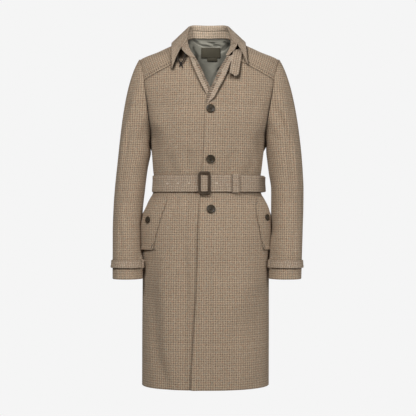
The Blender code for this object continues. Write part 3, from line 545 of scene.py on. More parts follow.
def buildMottle():
    tree, given, out = newGroup("mottle", "Base Streak", "Scale Rough Spread", "Height Roughness")
    stretch = tree.nodes.new("ShaderNodeVectorMath")
    stretch.operation = "MULTIPLY"
    feed(stretch.inputs[0], given["Place"])
    feed(stretch.inputs[1], mottling["stretch"])
    scaled = scaleColour(stretch.outputs[0], given["Scale"])
    cloud, grain = (noiseAt(scaled, *mottling[name]) for name in ("cloud", "grain"))
    share = clamped(calc("MULTIPLY_ADD", cloud, *mottling["streaks"]))
    colour = mixColours(share, given["Base"], given["Streak"])
    feed(out["Color"], scaleColour(colour, calc("MULTIPLY_ADD", grain, *mottling["tone"])))
    cloudHeight = calc("MULTIPLY", cloud, mottling["cloudHeight"])
    feed(out["Height"], calc("MULTIPLY_ADD", grain, mottling["grainHeight"], cloudHeight))
    feed(out["Roughness"], vary(given["Rough"], grain, given["Spread"]))
    return tree


tweedWeave, fineTwill, mottle = buildTweedWeave(), buildFineTwill(), buildMottle()

# linear colours and numbers for the groups, the bump's depth, and values of the shader itself
# the yarn size, and the deep brown that painted shade mixes the tweed toward
tweedYarn = {"Yarn": 0.000875, "Deep": (0.02, 0.012, 0.005, 1)}
woollen = {"Roughness": 0.92, "Specular IOR Level": 0.22, "Sheen Weight": 0.16, "Sheen Roughness": 0.55,
           "Sheen Tint": (0.9, 0.8, 0.68, 1)}
threadWear = {"Scale": 900.0, "Rough": 0.75, "Spread": 0.2}
threadShine = {"Specular IOR Level": 0.25, "Sheen Weight": 0.2}
finishes = {
    "tweed": ({"Light": (0.494, 0.38, 0.268, 1), "Dark": (0.197, 0.136, 0.087, 1),
               "Fleck": (0.73, 0.6, 0.46, 1), "Rust": (0.44, 0.216, 0.132, 1),
               "Cool": (0.288, 0.288, 0.238, 1), "Uneven": 1.0, **tweedYarn}, 0.0006, woollen),
    "tweedBias": ({"Light": (0.5, 0.39, 0.288, 1), "Dark": (0.205, 0.146, 0.098, 1),
                   "Fleck": (0.7, 0.6, 0.49, 1), "Rust": (0.35, 0.185, 0.108, 1),
                   "Cool": (0.305, 0.29, 0.24, 1), "Uneven": 0.7, **tweedYarn}, 0.0006, woollen),
    # a lighter copy of the tweed: painted light on the band inside the back of the collar, which faces the
    # lamps
    "tweedPaintedLight": ({"Light": (0.8, 0.646, 0.49, 1), "Dark": (0.44, 0.328, 0.23, 1),
                   "Fleck": (0.78, 0.68, 0.56, 1), "Rust": (0.48, 0.29, 0.18, 1),
                   "Cool": (0.44, 0.42, 0.35, 1), "Uneven": 0.7, **tweedYarn}, 0.0006, woollen),
    "tweedRib": ({"Light": (0.56, 0.44, 0.33, 1), "Dark": (0.11, 0.078, 0.052, 1),
                  "Fleck": (0.7, 0.6, 0.49, 1), "Rust": (0.34, 0.18, 0.105, 1),
                  "Cool": (0.29, 0.275, 0.228, 1), "Uneven": 0.7, **tweedYarn}, 0.0008, woollen),
    # the lining's colours are lighter than its cloth would be: painted light that stands in for the light
    # inside the neck
    "lining": ({"Base": (0.5, 0.478, 0.392, 1), "Glint": (0.69, 0.664, 0.56, 1), "Yarn": 0.0005},
               0.00015, {"Specular IOR Level": 0.2}),
    # near-black satin on the inner faces of fronts, yokes, back and sleeves: a dark lining that also serves
    # as painted shade in the gaps round the arms
    "darkLiningAndShade": ({"Base": (0.04, 0.031, 0.022, 1), "Glint": (0.07, 0.056, 0.04, 1), "Yarn": 0.0005},
                  0.00015, {"Specular IOR Level": 0.3}),
    "label": ({"Base": (0.154, 0.137, 0.097, 1), "Glint": (0.18, 0.162, 0.118, 1), "Yarn": 0.0011},
              0.00015, {"Specular IOR Level": 0.3}),
    # dark undercollar felt on the collar's hidden faces, made dark as painted shade under the collar
    "feltAndShade": ({"Base": (0.04, 0.029, 0.02, 1), "Streak": (0.07, 0.052, 0.037, 1), "Scale": 700.0,
              "Rough": 0.9, "Spread": 0.1}, 0.0003, {"Specular IOR Level": 0.15, "Sheen Weight": 0.1}),
    "horn": ({"Base": (0.021, 0.016, 0.01, 1), "Streak": (0.072, 0.054, 0.033, 1), "Scale": 130.0,
              "Rough": 0.36, "Spread": 0.25}, 0.00008,
             {"Specular IOR Level": 0.25, "Coat Weight": 0.03, "Coat Roughness": 0.2}),
    "leather": ({"Base": (0.034, 0.022, 0.013, 1), "Streak": (0.085, 0.055, 0.031, 1), "Scale": 240.0,
                 "Rough": 0.5, "Spread": 0.3}, 0.00035, {"Specular IOR Level": 0.28}),
    "paleThread": ({"Base": (0.44, 0.345, 0.25, 1), "Streak": (0.6, 0.48, 0.36, 1), **threadWear},
                   0.0002, threadShine),
    "brightThread": ({"Base": (0.58, 0.48, 0.36, 1), "Streak": (0.72, 0.61, 0.47, 1), **threadWear},
                     0.0002, threadShine),
    "darkThread": ({"Base": (0.03, 0.022, 0.015, 1), "Streak": (0.06, 0.045, 0.031, 1), **threadWear},
                   0.0002, threadShine),
    "cord": ({"Base": (0.012, 0.008, 0.005, 1), "Streak": (0.034, 0.024, 0.016, 1), "Scale": 1100.0,
              "Rough": 0.65, "Spread": 0.25}, 0.0003, {"Specular IOR Level": 0.3, "Sheen Weight": 0.15}),
}
bumpStrength = 0.7


def newMaterial(name):
    material = bpy.data.materials.new(name)
    material.use_nodes = True
    tree = material.node_tree
    return material, tree, tree.nodes["Principled BSDF"].inputs


# cloth is placed by its flat pattern and darkened with painted shade where it meets other pieces; the rest by
# its object
def makeFinish(name, group, onCloth):
    values, depth, settings = finishes[name]
    material, tree, shader = newMaterial(name)
    node = tree.nodes.new("ShaderNodeGroup")
    node.node_tree = group
    if onCloth:
        pattern, shade = tree.nodes.new("ShaderNodeUVMap"), tree.nodes.new("ShaderNodeAttribute")
        pattern.uv_map, shade.attribute_name = "cloth", "shade"
        values = {"Place": pattern.outputs[0], "Shade": shade.outputs["Fac"], **values}
    else:
        values = {"Place": tree.nodes.new("ShaderNodeTexCoord").outputs["Object"], **values}
    for label, value in values.items():
        feed(node.inputs[label], value)
    tree.links.new(node.outputs["Color"], shader["Base Color"])
    if "Roughness" in node.outputs:
        tree.links.new(node.outputs["Roughness"], shader["Roughness"])
    bump = tree.nodes.new("ShaderNodeBump")
    for label, value in (("Strength", bumpStrength), ("Distance", depth), ("Height", node.outputs["Height"])):
        feed(bump.inputs[label], value)
    tree.links.new(bump.outputs[0], shader["Normal"])
    for label, value in settings.items():
        shader[label].default_value = value
    return material


tweed, tweedBias, tweedPaintedLight, tweedRib = (makeFinish(name, tweedWeave, True)
                                         for name in ("tweed", "tweedBias", "tweedPaintedLight", "tweedRib"))
satin, woven, darkLiningAndShade = (makeFinish(name, fineTwill, True) for name in ("lining", "label", "darkLiningAndShade"))
horn, leather, feltAndShade, cordFinish = (makeFinish(name, mottle, False)
                                   for name in ("horn", "leather", "feltAndShade", "cord"))
paleThread, brightThread, darkThread = (makeFinish(name, mottle, False)
                                        for name in ("paleThread", "brightThread", "darkThread"))
print("finishes ready")


# the throat loop's cord comes first: out from under the collar, round its foot and back in
loopRoute = sizeTable("step x height lift", [
    (0, -0.0725, -0.0455, 0.0030),
    (1, -0.0730, -0.0500, 0.0031),
    (2, -0.0734, -0.0550, 0.0033),
    (3, -0.0738, -0.0600, 0.0035),
    (4, -0.0744, -0.0650, 0.0038),
    (5, -0.0753, -0.0700, 0.0040),
    (6, -0.0766, -0.0750, 0.0042),
    (7, -0.0783, -0.0797, 0.0044),
    (8, -0.0808, -0.0838, 0.0046),
    (9, -0.0846, -0.0862, 0.0048),
    (10, -0.0886, -0.0850, 0.0048),
    (11, -0.0913, -0.0813, 0.0046),
    (12, -0.0936, -0.0765, 0.0044),
    (13, -0.0957, -0.0713, 0.0042),
    (14, -0.0976, -0.0662, 0.0040),
    (15, -0.0993, -0.0612, 0.0036),
    (16, -0.1007, -0.0565, 0.0032),
])
throatLoop = {"diameter": 0.0034, "points": 57, "sides": 10, "knot": (-0.085, -0.0905), "knotLift": 0.0048,
              "knotSize": 0.0034, "knotSquash": 0.95, "knotPinch": 0.25, "knotDeep": (-0.0006, 0.0017),
              "knotCord": 0.46, "knotPoints": 41, "ends": {"a": (-0.0895, -0.0985), "b": (-0.0795, -0.1035)},
              "endLift": 0.0044, "endFall": 0.0024, "endBow": 0.0012, "endTaper": 0.25, "endPoints": 12}


def makeThroatLoop():
    values, radius = throatLoop, throatLoop["diameter"] / 2
    step = np.linspace(0, len(loopRoute["rows"]) - 1, values["points"])
    height = sizeAt(loopRoute, "height", step)
    path = skinAt(turnAt(sizeAt(loopRoute, "x", step), height), height, sizeAt(loopRoute, "lift", step))
    cord = roundTube("throat_loop_cord", path, radius, [cordFinish], values["sides"])
    dress(cord, "cord", "throat_loop")

    # one overhand knot round the foot of the loop, with its two cut ends
    x, z = values["knot"]
    centre, size = skinAt(turnAt(x, z), z, values["knotLift"]), values["knotSize"]
    around = np.linspace(0, 2 * math.pi, values["knotPoints"])
    inward, sway = values["knotDeep"]
    coil = centre + np.stack([size * np.sin(around) * (1 + values["knotPinch"] * np.cos(2 * around)),
                              inward + sway * np.cos(3 * around),
                              size * values["knotSquash"] * np.cos(around)], -1)
    lines = [("throat_loop_knot", coil, values["diameter"] * values["knotCord"])]
    t = np.linspace(0, 1, values["endPoints"])
    for letter, (x, z) in values["ends"].items():
        endX = centre[0] + t * (x - centre[0])
        endZ = centre[2] + t * (z - centre[2]) + values["endBow"] * np.sin(math.pi * t)
        line = skinAt(turnAt(endX, endZ), endZ, values["endLift"] - values["endFall"] * t)
        lines.append((f"throat_loop_end_{letter}", line, radius * (1 - values["endTaper"] * t ** 4)))
    pieces = [dress(roundTube(*line, [cordFinish], values["sides"]), "cord") for line in lines]


makeThroatLoop()
print("throat loop made")


# how much the lapping front rides up over the other one
overlap = {"lift": 0.0029, "within": 0.05, "fade": 0.055, "top": -0.075}


def overlapLift(turn, height):
    across = reachAt(turn, height) * np.sign(np.cos(turn))
    nearCentre = 1 - above(across, overlap["within"], overlap["fade"])
    return overlap["lift"] * nearCentre * below(height, overlap["top"], overlap["fade"])


# the coat falls away under the front ends of the collar and in front of the arms
neckHollows = [(-0.083, -0.06, 0.0165, 0.019, 0.015), (0.0715, -0.056, 0.015, 0.017, 0.014)]
armHollow = {"at": 0.36, "spread": 0.2, "inFront": 0.2, "deep": 0.0095, "top": -0.15, "foot": -0.385,
             "fade": 0.07}


def hollowLift(turn, height):
    x, sine = bodyPoints(turn, height)[..., 0], np.sin(turn)
    arm = bell(sine - armHollow["at"], armHollow["spread"]) * above(sine, 0, armHollow["inFront"])
    arm = arm * below(height, armHollow["top"], armHollow["fade"])
    lift = -armHollow["deep"] * arm * above(height, armHollow["foot"], armHollow["fade"])
    for atX, atHeight, wide, tall, deep in neckHollows:
        lift = lift - deep * bell(x - atX, wide) * bell(height - atHeight, tall) * (sine > 0)
    return lift


# shoulder yoke and armhole lines
yoke = {"seam": -0.065, "from": 0.07, "fall": 0.53, "backShare": 0.35, "backLap": 0.09, "columns": 54,
        "rows": 36, "backRows": 16, "lap": 0.0022, "lapAt": (0.86, 0.12), "backAt": (-0.23, 0.1),
        "edgeLow": -0.09, "stitchAt": 0.955, "stitch": (0.0085, 0.004, 0.0011),
        "sheet": (0.178, 0.181, 0.0274)}
armhole = {"front": 0.062, "back": 0.066, "middle": (levels["shoulder"] + levels["armpit"]) / 2,
           "half": (levels["shoulder"] - levels["armpit"]) / 2}
ridgeHeights = np.linspace(levels["neck"], levels["shoulder"], 4000)
ridgeReaches = sizeAt(body, "halfWidth", ridgeHeights)


def shoulderRidge(reach):
    return np.interp(reach, ridgeReaches, ridgeHeights)


def yokeSeam(reach):
    return yoke["seam"] - yoke["fall"] * (reach - yoke["from"])


def yokeHeight(reach, share):
    top = shoulderRidge(reach)
    return top - (top - yokeSeam(reach)) * share ** 2


def armholeAt(angle, back=False, lap=0.0):
    height = armhole["middle"] + (armhole["half"] + lap) * np.cos(angle)
    depth = sizeAt(body, "backDepth" if back else "frontDepth", height)
    edge = (armhole["back" if back else "front"] + lap) * np.sin(angle)
    turn = np.arcsin(np.clip(edge / depth, 0, 1) ** (1 / bodyPower))
    return (-turn if back else turn), height


def mirrored(turn, side):
    return turn if side > 0 else math.pi - turn


# turn of a panel's edge at the side seam, a seam gap off the coat's widest line
def seamTurn(depthName, height):
    return math.asin((cloth["seam"] / sizeAt(body, depthName, height)) ** (1 / bodyPower))


def edgeReach(word, height):
    return np.abs(sizeAt(edges, word, height) - sizeAt(body, "centre", height))


# height along a row that is level at the armpit and follows the top line at share 1
def tiltedHeight(turn, share, top):
    armpit = levels["armpit"]

    def pastRow(z):
        return z - (armpit + share * (top(reachAt(turn, z)) - armpit))

    return findZero(pastRow, armpit - 0.01 + 0 * turn, levels["backNeck"] + 0 * turn)


fronts = {"columns": 100, "rowsBelow": 140, "rowsAbove": 84, "closeRows": np.linspace(-0.01, 0.003, 8),
          "edgeLow": -0.32, "edgeHigh": -0.03, "leftSheet": (0.316, 1.039, 0.266),
          "rightSheet": (0.319, 1.045, 0.284)}

# creases over the fronts, drawn as x and z on the coat: x0, z0, x1, z1, width, height
frontCreases = mm([
    (-70, -345, -66, -424, 13, -4.5),   # pinched in above the belt
    (66, -350, 72, -424, 14, -3.6),
    (-92, -335, -90, -420, 16, 2.4),
    (104, -335, 100, -420, 18, 2),
    (-30, -385, -34, -425, 12, -1.8),
    (34, -380, 30, -425, 12, -1.8),
    (-125, -360, -112, -424, 12, -2.6),
    (132, -360, 118, -424, 12, -2.6),
    (-148, -640, -112, -1050, 28, 7.5),   # long soft ridge on the wearer's right
    (-178, -690, -140, -1080, 26, -8.5),
    (-75, -560, -68, -1080, 24, -6.5),
    (137, -660, 36, -930, 38, 7.5),   # broad slanting ridge on the left
    (172, -690, 130, -990, 34, -2.2),
    (60, -640, 0, -860, 34, -4.5),
    (110, -900, 100, -1080, 34, 5),
    (-100, -472, -112, -560, 11, -3),   # small gathers let out below the belt
    (-60, -474, -62, -545, 10, -2.2),
    (60, -474, 68, -560, 11, -2.8),
    (100, -474, 112, -550, 10, -2.6),
    (-160, -170, -118, -262, 16, -3),   # drag towards the armholes
    (162, -170, 120, -262, 16, -2.2),
    (-175, -245, -120, -320, 16, 2.5),
    (176, -245, 122, -320, 16, 1.8),
])


# creases keep away from what lies on the cloth: belt, pockets, lapels and seams
creaseClear = {"belt": (0.024, 0.02), "pocketLow": -0.665, "pocketHigh": -0.48, "pocketX": 0.118,
               "pocketShare": 0.15, "chest": (-0.088, 0.05)}


def clearOfBelt(height):
    return above(np.abs(height - levels["belt"]), *creaseClear["belt"])


def creaseRoom(x, height):
    pocket = (height > creaseClear["pocketLow"]) & (height < creaseClear["pocketHigh"])
    pocket = np.where(pocket & (np.abs(x) > creaseClear["pocketX"]), creaseClear["pocketShare"], 1.0)
    return clearOfBelt(height) * pocket * below(height, *creaseClear["chest"])


# rows lie closer together under the belt and the pockets, where the shade is narrow
def frontGrid(side):
    word, armpit = sideNames[side], levels["armpit"]
    spread = np.linspace(0, 1, fronts["columns"])
    turns, heights = [], []

    def innerTurn(height):
        return mirrored(turnAt(sizeAt(edges, word, height), height), side)

    closeRows = [levels[name] + fronts["closeRows"] for name in ("underBelt", "underPocket")]
    evenRows = np.linspace(levels["hem"], armpit, fronts["rowsBelow"])
    for height in np.sort(np.concatenate([evenRows, *closeRows])):
        outer = seamTurn("frontDepth", height)
        turns.append(outer + spread * (innerTurn(height) - outer))
        heights.append(height + 0 * spread)

    def pastSeam(angle):
        turn, height = armholeAt(angle)
        return yokeSeam(reachAt(turn, height)) - height

    last = findZero(pastSeam, 0.3, 2.5)
    for angle in np.linspace(math.pi, last, fronts["rowsAbove"])[1:]:
        outer, outerHeight = armholeAt(angle)
        share = (outerHeight - armpit) / (yokeSeam(reachAt(outer, outerHeight)) - armpit)

        def pastEdge(height):
            return height - (armpit + share * (yokeSeam(edgeReach(word, height)) - armpit))

        inner = innerTurn(findZero(pastEdge, fronts["edgeLow"], fronts["edgeHigh"]))
        turns.append(outer + spread * (inner - outer))
        heights.append(tiltedHeight(turns[-1], share, yokeSeam))
    return np.array(turns), np.array(heights)


# slanted pocket welts: front line of each, and how far the rear edge stands off the hip
pocketLines = sizeTable("height left right leftFlare rightFlare", mm([
    (-650, 164, -170, 1.5, 3.2),
    (-610, 156.5, -162.5, 1.3, 3.6),
    (-575, 150, -152.5, 1.8, 4.5),
    (-545, 144, -144, 3.5, 3.5),
    (-520, 143.5, -135, 3, 1),
    (-505, 144, -130.5, 1, 0.3),
    (-490, 144.5, -126.5, 0, 0),
]))
# painted shade under the collar: x0, z0, x1, z1, width, tone
neckShades = [
    (-0.084, -0.042, -0.0855, -0.05, 0.0185, 0.95),   # wearer's right: the corner and both its sides
    (-0.092, -0.05, -0.102, -0.078, 0.0105, 0.94),
    (-0.102, -0.078, -0.111, -0.102, 0.0085, 0.84),
    (-0.078, -0.048, -0.069, -0.06, 0.0085, 0.88),
    (-0.089, -0.062, -0.088, -0.072, 0.0085, 0.45),
    (0.069, -0.048, 0.065, -0.064, 0.0062, 0.95),     # wearer's left: beside the tab
    (0.086, -0.032, 0.08, -0.04, 0.008, 0.95),
    (0.09, -0.04, 0.112, -0.086, 0.0042, 0.62),
    (-0.1155, -0.03, -0.1165, -0.098, 0.0036, 0.34),   # outer edges of the collar
    (0.115, -0.03, 0.1165, -0.094, 0.004, 0.48),
]
facingWidths = sizeTable("height left right", mm([
    (-212, 3, 12),
    (-190, 19, 16.5),
    (-167, 24, 18.5),
    (-148, 25.8, 19),
    (-116.5, 26, 19),
    (-98.5, 23.5, 18.5),
    (-64, 16.5, 12.5),
]))
facing = {"leftTop": -0.0645, "rightTop": -0.071, "leftFoot": -0.211, "rightFoot": -0.186, "foldGap": 0.0015,
          "rows": 90, "columns": 30, "roll": 0.002, "rollWidth": 0.16, "edgeLift": 0.0075,
          "edgeFrom": (0.3, 0.7), "footFade": 0.02, "foldRadius": 0.0011,
          "foldTurn": np.linspace(math.pi * 0.95, 0.12, 9), "ribs": 0.22, "leftShade": 0.72,
          "rightShade": 0.6, "stitch": (0.0052, 0.0026, 0.0004), "leftSheet": (0.037, 0.1813, 0.00526),
          "rightSheet": (0.0304, 0.1364, 0.00356)}
throatTab = {"width": 0.026, "slant": 0.005, "roundFrom": 0.86, "roundness": 0.985, "topX": 0.087,
             "tipX": 0.0715, "top": -0.046, "tip": -0.13, "lift": 0.004, "flare": 0.01, "bow": 0.001,
             "rows": 60, "columns": 24, "stitch": (0.0046, 0.0024, 0.00036),
             "sheet": (0.0276, 0.1089, 0.00268)}
# painted shade on the coat beside what lies on it: tone and width, then where each begins and how it fades
paintedShadeSizes = {"neckCore": (0.35, 0.85), "loop": (0.8, 0.0034), "loopAside": (0.0008, -0.001),
           "lapelWidth": 0.0045, "lapelFoot": 0.012, "lapelTop": 0.008,
           "belt": (0.55, 0.005), "beltAbove": 0.006, "pocketFoot": (0.65, 0.0045), "pocketAbove": 0.005,
           "hip": (0.158, 0.01), "pocketSide": (0.4, 0.0032), "pocketTop": (-0.498, 0.02),
           "pocketLow": -0.652, "pocketUnder": 0.012, "yoke": (0.5, 0.0036), "armhole": (0.78, 0.01),
           "armholeTop": (-0.11, 0.1), "tab": (0.66, 0.005), "tabLean": 0.005, "tabBelow": 0.003,
           "tabTop": (-0.1, 0.3), "edgeWidth": 0.0035,
           "edgeTones": ((0.05, -0.235, 0.02), (0.18, -0.86, 0.16)), "edgeUneven": (0.8, 0.3, 70, 31)}


def fromLine(x, height, x0, height0, x1, height1):
    alongX, alongZ = x1 - x0, height1 - height0
    share = ((x - x0) * alongX + (height - height0) * alongZ) / (alongX ** 2 + alongZ ** 2)
    share = np.clip(share, 0, 1)
    return np.hypot(x - x0 - share * alongX, height - height0 - share * alongZ)


# painted shade that fades out from a line
def paintedShadeAt(distance, tone, width):
    return tone * bell(distance, width)


# painted shade under the collar's front ends and along the throat loop's cord
def neckShade(x, height):
    shade = 0 * x
    for *line, width, deep in neckShades:
        away = fromLine(x, height, *line) / width
        shade = np.maximum(shade, deep * (1 - above(away, *paintedShadeSizes["neckCore"])))
    asideX, asideZ = paintedShadeSizes["loopAside"]
    for first, last in zip(loopRoute["rows"][:-1], loopRoute["rows"][1:]):
        away = fromLine(x - asideX, height - asideZ, *first[1:3], *last[1:3])
        shade = np.maximum(shade, paintedShadeAt(away, *paintedShadeSizes["loop"]))
    return shade


# painted shadow of the throat tab, to its right and below
def tabPaintedShadow(x, height):
    share = (throatTab["top"] - height) / (throatTab["top"] - throatTab["tip"])
    middle = throatTab["topX"] + share * (throatTab["tipX"] - throatTab["topX"]) + paintedShadeSizes["tabLean"] * share
    apart = np.hypot(np.maximum(np.abs(x - middle) - throatTab["width"] / 2, 0),
                     np.maximum(throatTab["tip"] - paintedShadeSizes["tabBelow"] - height, 0))
    return paintedShadeAt(apart, *paintedShadeSizes["tab"]) * above(share, *paintedShadeSizes["tabTop"])


# painted shade of the lapping edge on the front beneath it, uneven along its length
def edgePaintedShadow(x, height):
    least, uneven, wave, otherWave = paintedShadeSizes["edgeUneven"]
    tone = sum(part * below(height, *place) for part, *place in paintedShadeSizes["edgeTones"])
    tone = tone * (least + uneven * np.sin(wave * height) * np.sin(otherWave * height + 1))
    return paintedShadeAt(np.maximum(sizeAt(edges, "left", height) - x, 0), tone, paintedShadeSizes["edgeWidth"])


# painted shade on a front: beside the lapels, under belt and pockets, beside pocket edges, yoke seam and
# armhole, and under the tab or the lapping edge
def frontShade(side, turn, x, height):
    word = sideNames[side]
    beyond = side * (x - sizeAt(edges, word, height)) - sizeAt(facingWidths, word, height)
    lapel = paintedShadeAt(np.maximum(beyond, 0), facing[word + "Shade"], paintedShadeSizes["lapelWidth"])
    lapel = lapel * above(height, facing[word + "Foot"], paintedShadeSizes["lapelFoot"])
    lapel = lapel * below(height, facing[word + "Top"] + paintedShadeSizes["lapelTop"], paintedShadeSizes["lapelTop"])
    underBelt, underPocket = levels["underBelt"] - height, levels["underPocket"] - height
    belt = paintedShadeAt(underBelt, *paintedShadeSizes["belt"]) * (underBelt > -paintedShadeSizes["beltAbove"])
    pocketFoot = paintedShadeAt(underPocket, *paintedShadeSizes["pocketFoot"]) * (underPocket > -paintedShadeSizes["pocketAbove"])
    pocketFoot = pocketFoot * above(np.abs(x), *paintedShadeSizes["hip"])
    ahead = np.abs(sizeAt(pocketLines, word, height)) - np.abs(x)
    onWelt = (height > paintedShadeSizes["pocketLow"]) & (ahead > -paintedShadeSizes["pocketUnder"])
    pocketSide = paintedShadeAt(np.maximum(ahead, 0), *paintedShadeSizes["pocketSide"]) * onWelt
    pocketSide = pocketSide * below(height, *paintedShadeSizes["pocketTop"])
    yokeLap = paintedShadeAt(yokeSeam(reachAt(turn, height)) - height, *paintedShadeSizes["yoke"])
    fromArmhole = levelArc(turn, height) - levelArc(turn[:, :1] + 0 * turn, height)
    arm = paintedShadeAt(fromArmhole, *paintedShadeSizes["armhole"]) * below(height, *paintedShadeSizes["armholeTop"])
    arm = arm * (height > levels["armpit"])
    own = tabPaintedShadow(x, height) if side > 0 else edgePaintedShadow(x, height)
    return np.maximum.reduce([neckShade(x, height), lapel, belt, pocketFoot, pocketSide, yokeLap, arm, own])


# the lapping edge stands a little proud below the belt, and the front beneath is pressed down with it
lapping = {"skirt": (-0.49, 0.12), "calm": 0.12, "calmLeast": 0.35, "proud": 0.0042, "proudWidth": 0.018,
           "covered": (-0.01, 0.012), "open": (-0.004, 0.03), "pressed": 0.002, "pressedAt": 0.004,
           "pressedWidth": 0.006, "sideSeam": 0.42}


def makeFront(side):
    word = sideNames[side]
    turn, height = frontGrid(side)
    lift = overlapLift(turn, height) if side > 0 else 0 * turn
    turn = mirrored(turn, side)
    x = bodyPoints(turn, height)[..., 0]
    crease = creaseField(x, height, frontCreases) * creaseRoom(x, height)
    skirt = below(height, *lapping["skirt"])
    fromEdge = x - sizeAt(edges, "left", height)
    calm = crease * smoothStep(fromEdge / lapping["calm"] + lapping["calmLeast"])
    if side > 0:
        crease = calm
        lift = lift + lapping["proud"] * skirt * bell(fromEdge, lapping["proudWidth"])
    else:
        covered = above(fromEdge, *lapping["covered"])
        crease = crease * below(fromEdge, *lapping["open"]) * (1 - covered) + np.minimum(calm, 0) * covered
        nearEdge = bell(fromEdge + lapping["pressedAt"], lapping["pressedWidth"])
        lift = lift - lapping["pressed"] * skirt * np.maximum(covered, nearEdge)
    lift = lift + crease * above(np.abs(np.sin(turn)), 0, lapping["sideSeam"]) + hollowLift(turn, height)
    clothPiece(f"front_{word}", *skinPair(turn, height, lift, cloth["shell"]),
               bodyUv(turn, height, math.pi / 2), [tweed, darkLiningAndShade], fronts[word + "Sheet"], "hung", "back",
               shade=frontShade(side, turn, x, height))


for side in sideNames:
    makeFront(side)
print("fronts made")


def yokeGrid(side):
    word, spread = sideNames[side], np.linspace(0, 1, yoke["columns"])
    shares = np.append(np.linspace(1, 0, yoke["rows"]),
                       np.linspace(0, -yoke["backShare"] - yoke["backLap"], yoke["backRows"] + 1)[1:])
    turns, heights = [], []
    for share in shares:
        behind = share < 0

        def pastRow(angle):
            turn, height = armholeAt(angle, behind)
            return yokeHeight(reachAt(turn, height), share) - height

        def pastEdge(height):
            return height - yokeHeight(edgeReach(word, height), max(share, 0))

        outer = reachAt(*armholeAt(findZero(pastRow, 0.0, 1.6), behind))
        inner = edgeReach(word, findZero(pastEdge, yoke["edgeLow"], levels["neck"]))
        reach = inner + spread * (outer - inner)
        height = yokeHeight(reach, share) + cloth["seam"] * (share == 1)
        cosine = np.clip(reach / sizeAt(body, "halfWidth", height), 0, 1) ** (1 / bodyPower)
        turns.append(np.arccos(cosine) * (-1 if behind else 1))
        heights.append(height)
    return np.array(turns), np.array(heights), shares


# the yoke's lower edge is turned under and picked down over the front
def makeYoke(side):
    word = sideNames[side]
    turn, height, shares = yokeGrid(side)
    turn = mirrored(turn, side)
    lap, overBack = above(shares, *yoke["lapAt"])[:, None], below(shares, *yoke["backAt"])[:, None]
    lift = yoke["lap"] * lap + (cloth["shell"] + cloth["rest"]) * overBack + hollowLift(turn, height)
    outer, inner = skinPair(turn, height, lift, cloth["shell"])
    # painted shade under the front ends of the collar
    shade = neckShade(bodyPoints(turn, height)[..., 0], height) * (np.sin(turn) > 0)
    clothPiece(f"yoke_{word}", outer, inner, gridUv(outer), [tweed, darkLiningAndShade], yoke["sheet"], "stretched",
               "back", shade=shade)
    row = int(np.argmin(np.abs(shares - yoke["stitchAt"])))
    out = bodyOut(turn[row], height[row])
    sewLine(f"yoke_{word}_stitches", outer[row], out, yoke["stitch"], darkThread)


for side in sideNames:
    makeYoke(side)
print("yokes made")


back = {"columns": 130, "rowsBelow": 130, "rowsAbove": 56, "topGap": 4 * cloth["seam"], "neckPower": 6,
        "flare": 0.012, "flareAt": 0.038, "flareSpread": 0.022, "flareFrom": 0.012,
        "flareLevels": {"hip": ((-0.515, 0.03), (-0.745, 0.05)), "armpit": ((-0.29, 0.016), (-0.36, 0.032))},
        "creaseTop": (-0.012, 0.05), "sideSeam": 0.16, "sheet": (0.57, 1.1, 0.54)}
# creases over the back: distance round from its middle, height
backCreases = mm([
    (-60, -360, -52, -425, 14, -5.5),
    (58, -350, 66, -425, 14, -5.5),
    (4, -370, 0, -425, 16, -3.5),
    (-120, -360, -104, -425, 14, -4.5),
    (122, -360, 106, -425, 14, -4.5),
    (-30, -340, -26, -425, 17, 3.5),
    (90, -345, 86, -425, 16, 3),
    (-100, -475, -128, -700, 18, -6),
    (-45, -475, -50, -760, 18, -5),
    (30, -475, 36, -720, 18, -5.5),
    (110, -475, 132, -690, 18, -5.5),
    (-75, -560, -92, -1080, 30, 7.5),
    (74, -560, 90, -1080, 30, 7.5),
    (-10, -640, -4, -1080, 28, -7.5),
    (-150, -640, -160, -1080, 30, -7),
    (152, -660, 158, -1080, 30, -7),
    (-170, -160, -130, -290, 16, -4.5),
    (172, -160, 132, -290, 16, -4.5),
    (-150, -190, -105, -330, 18, 3.5),
    (150, -190, 105, -330, 18, 3.5),
    (-60, -45, 60, -45, 16, -2),
])
neckReach = sizeAt(edges, "left", levels["neck"])


# the back fills out behind the arms at armpit and hip
def backFlare(turn, height):
    depth = bodyPoints(turn, height)[..., 1]
    behind = bell(depth - back["flareAt"], back["flareSpread"]) * above(depth, 0, back["flareFrom"])
    atLevels = sum(below(height, *top) * above(height, *foot) for top, foot in back["flareLevels"].values())
    return behind * back["flare"] * atLevels


def backTop(reach):
    shoulder = yokeHeight(np.maximum(reach, neckReach), yoke["backShare"]) - back["topGap"]
    rise = levels["backNeck"] - (yokeHeight(neckReach, yoke["backShare"]) - back["topGap"])
    return shoulder + rise * (1 - np.minimum(reach / neckReach, 1) ** back["neckPower"])


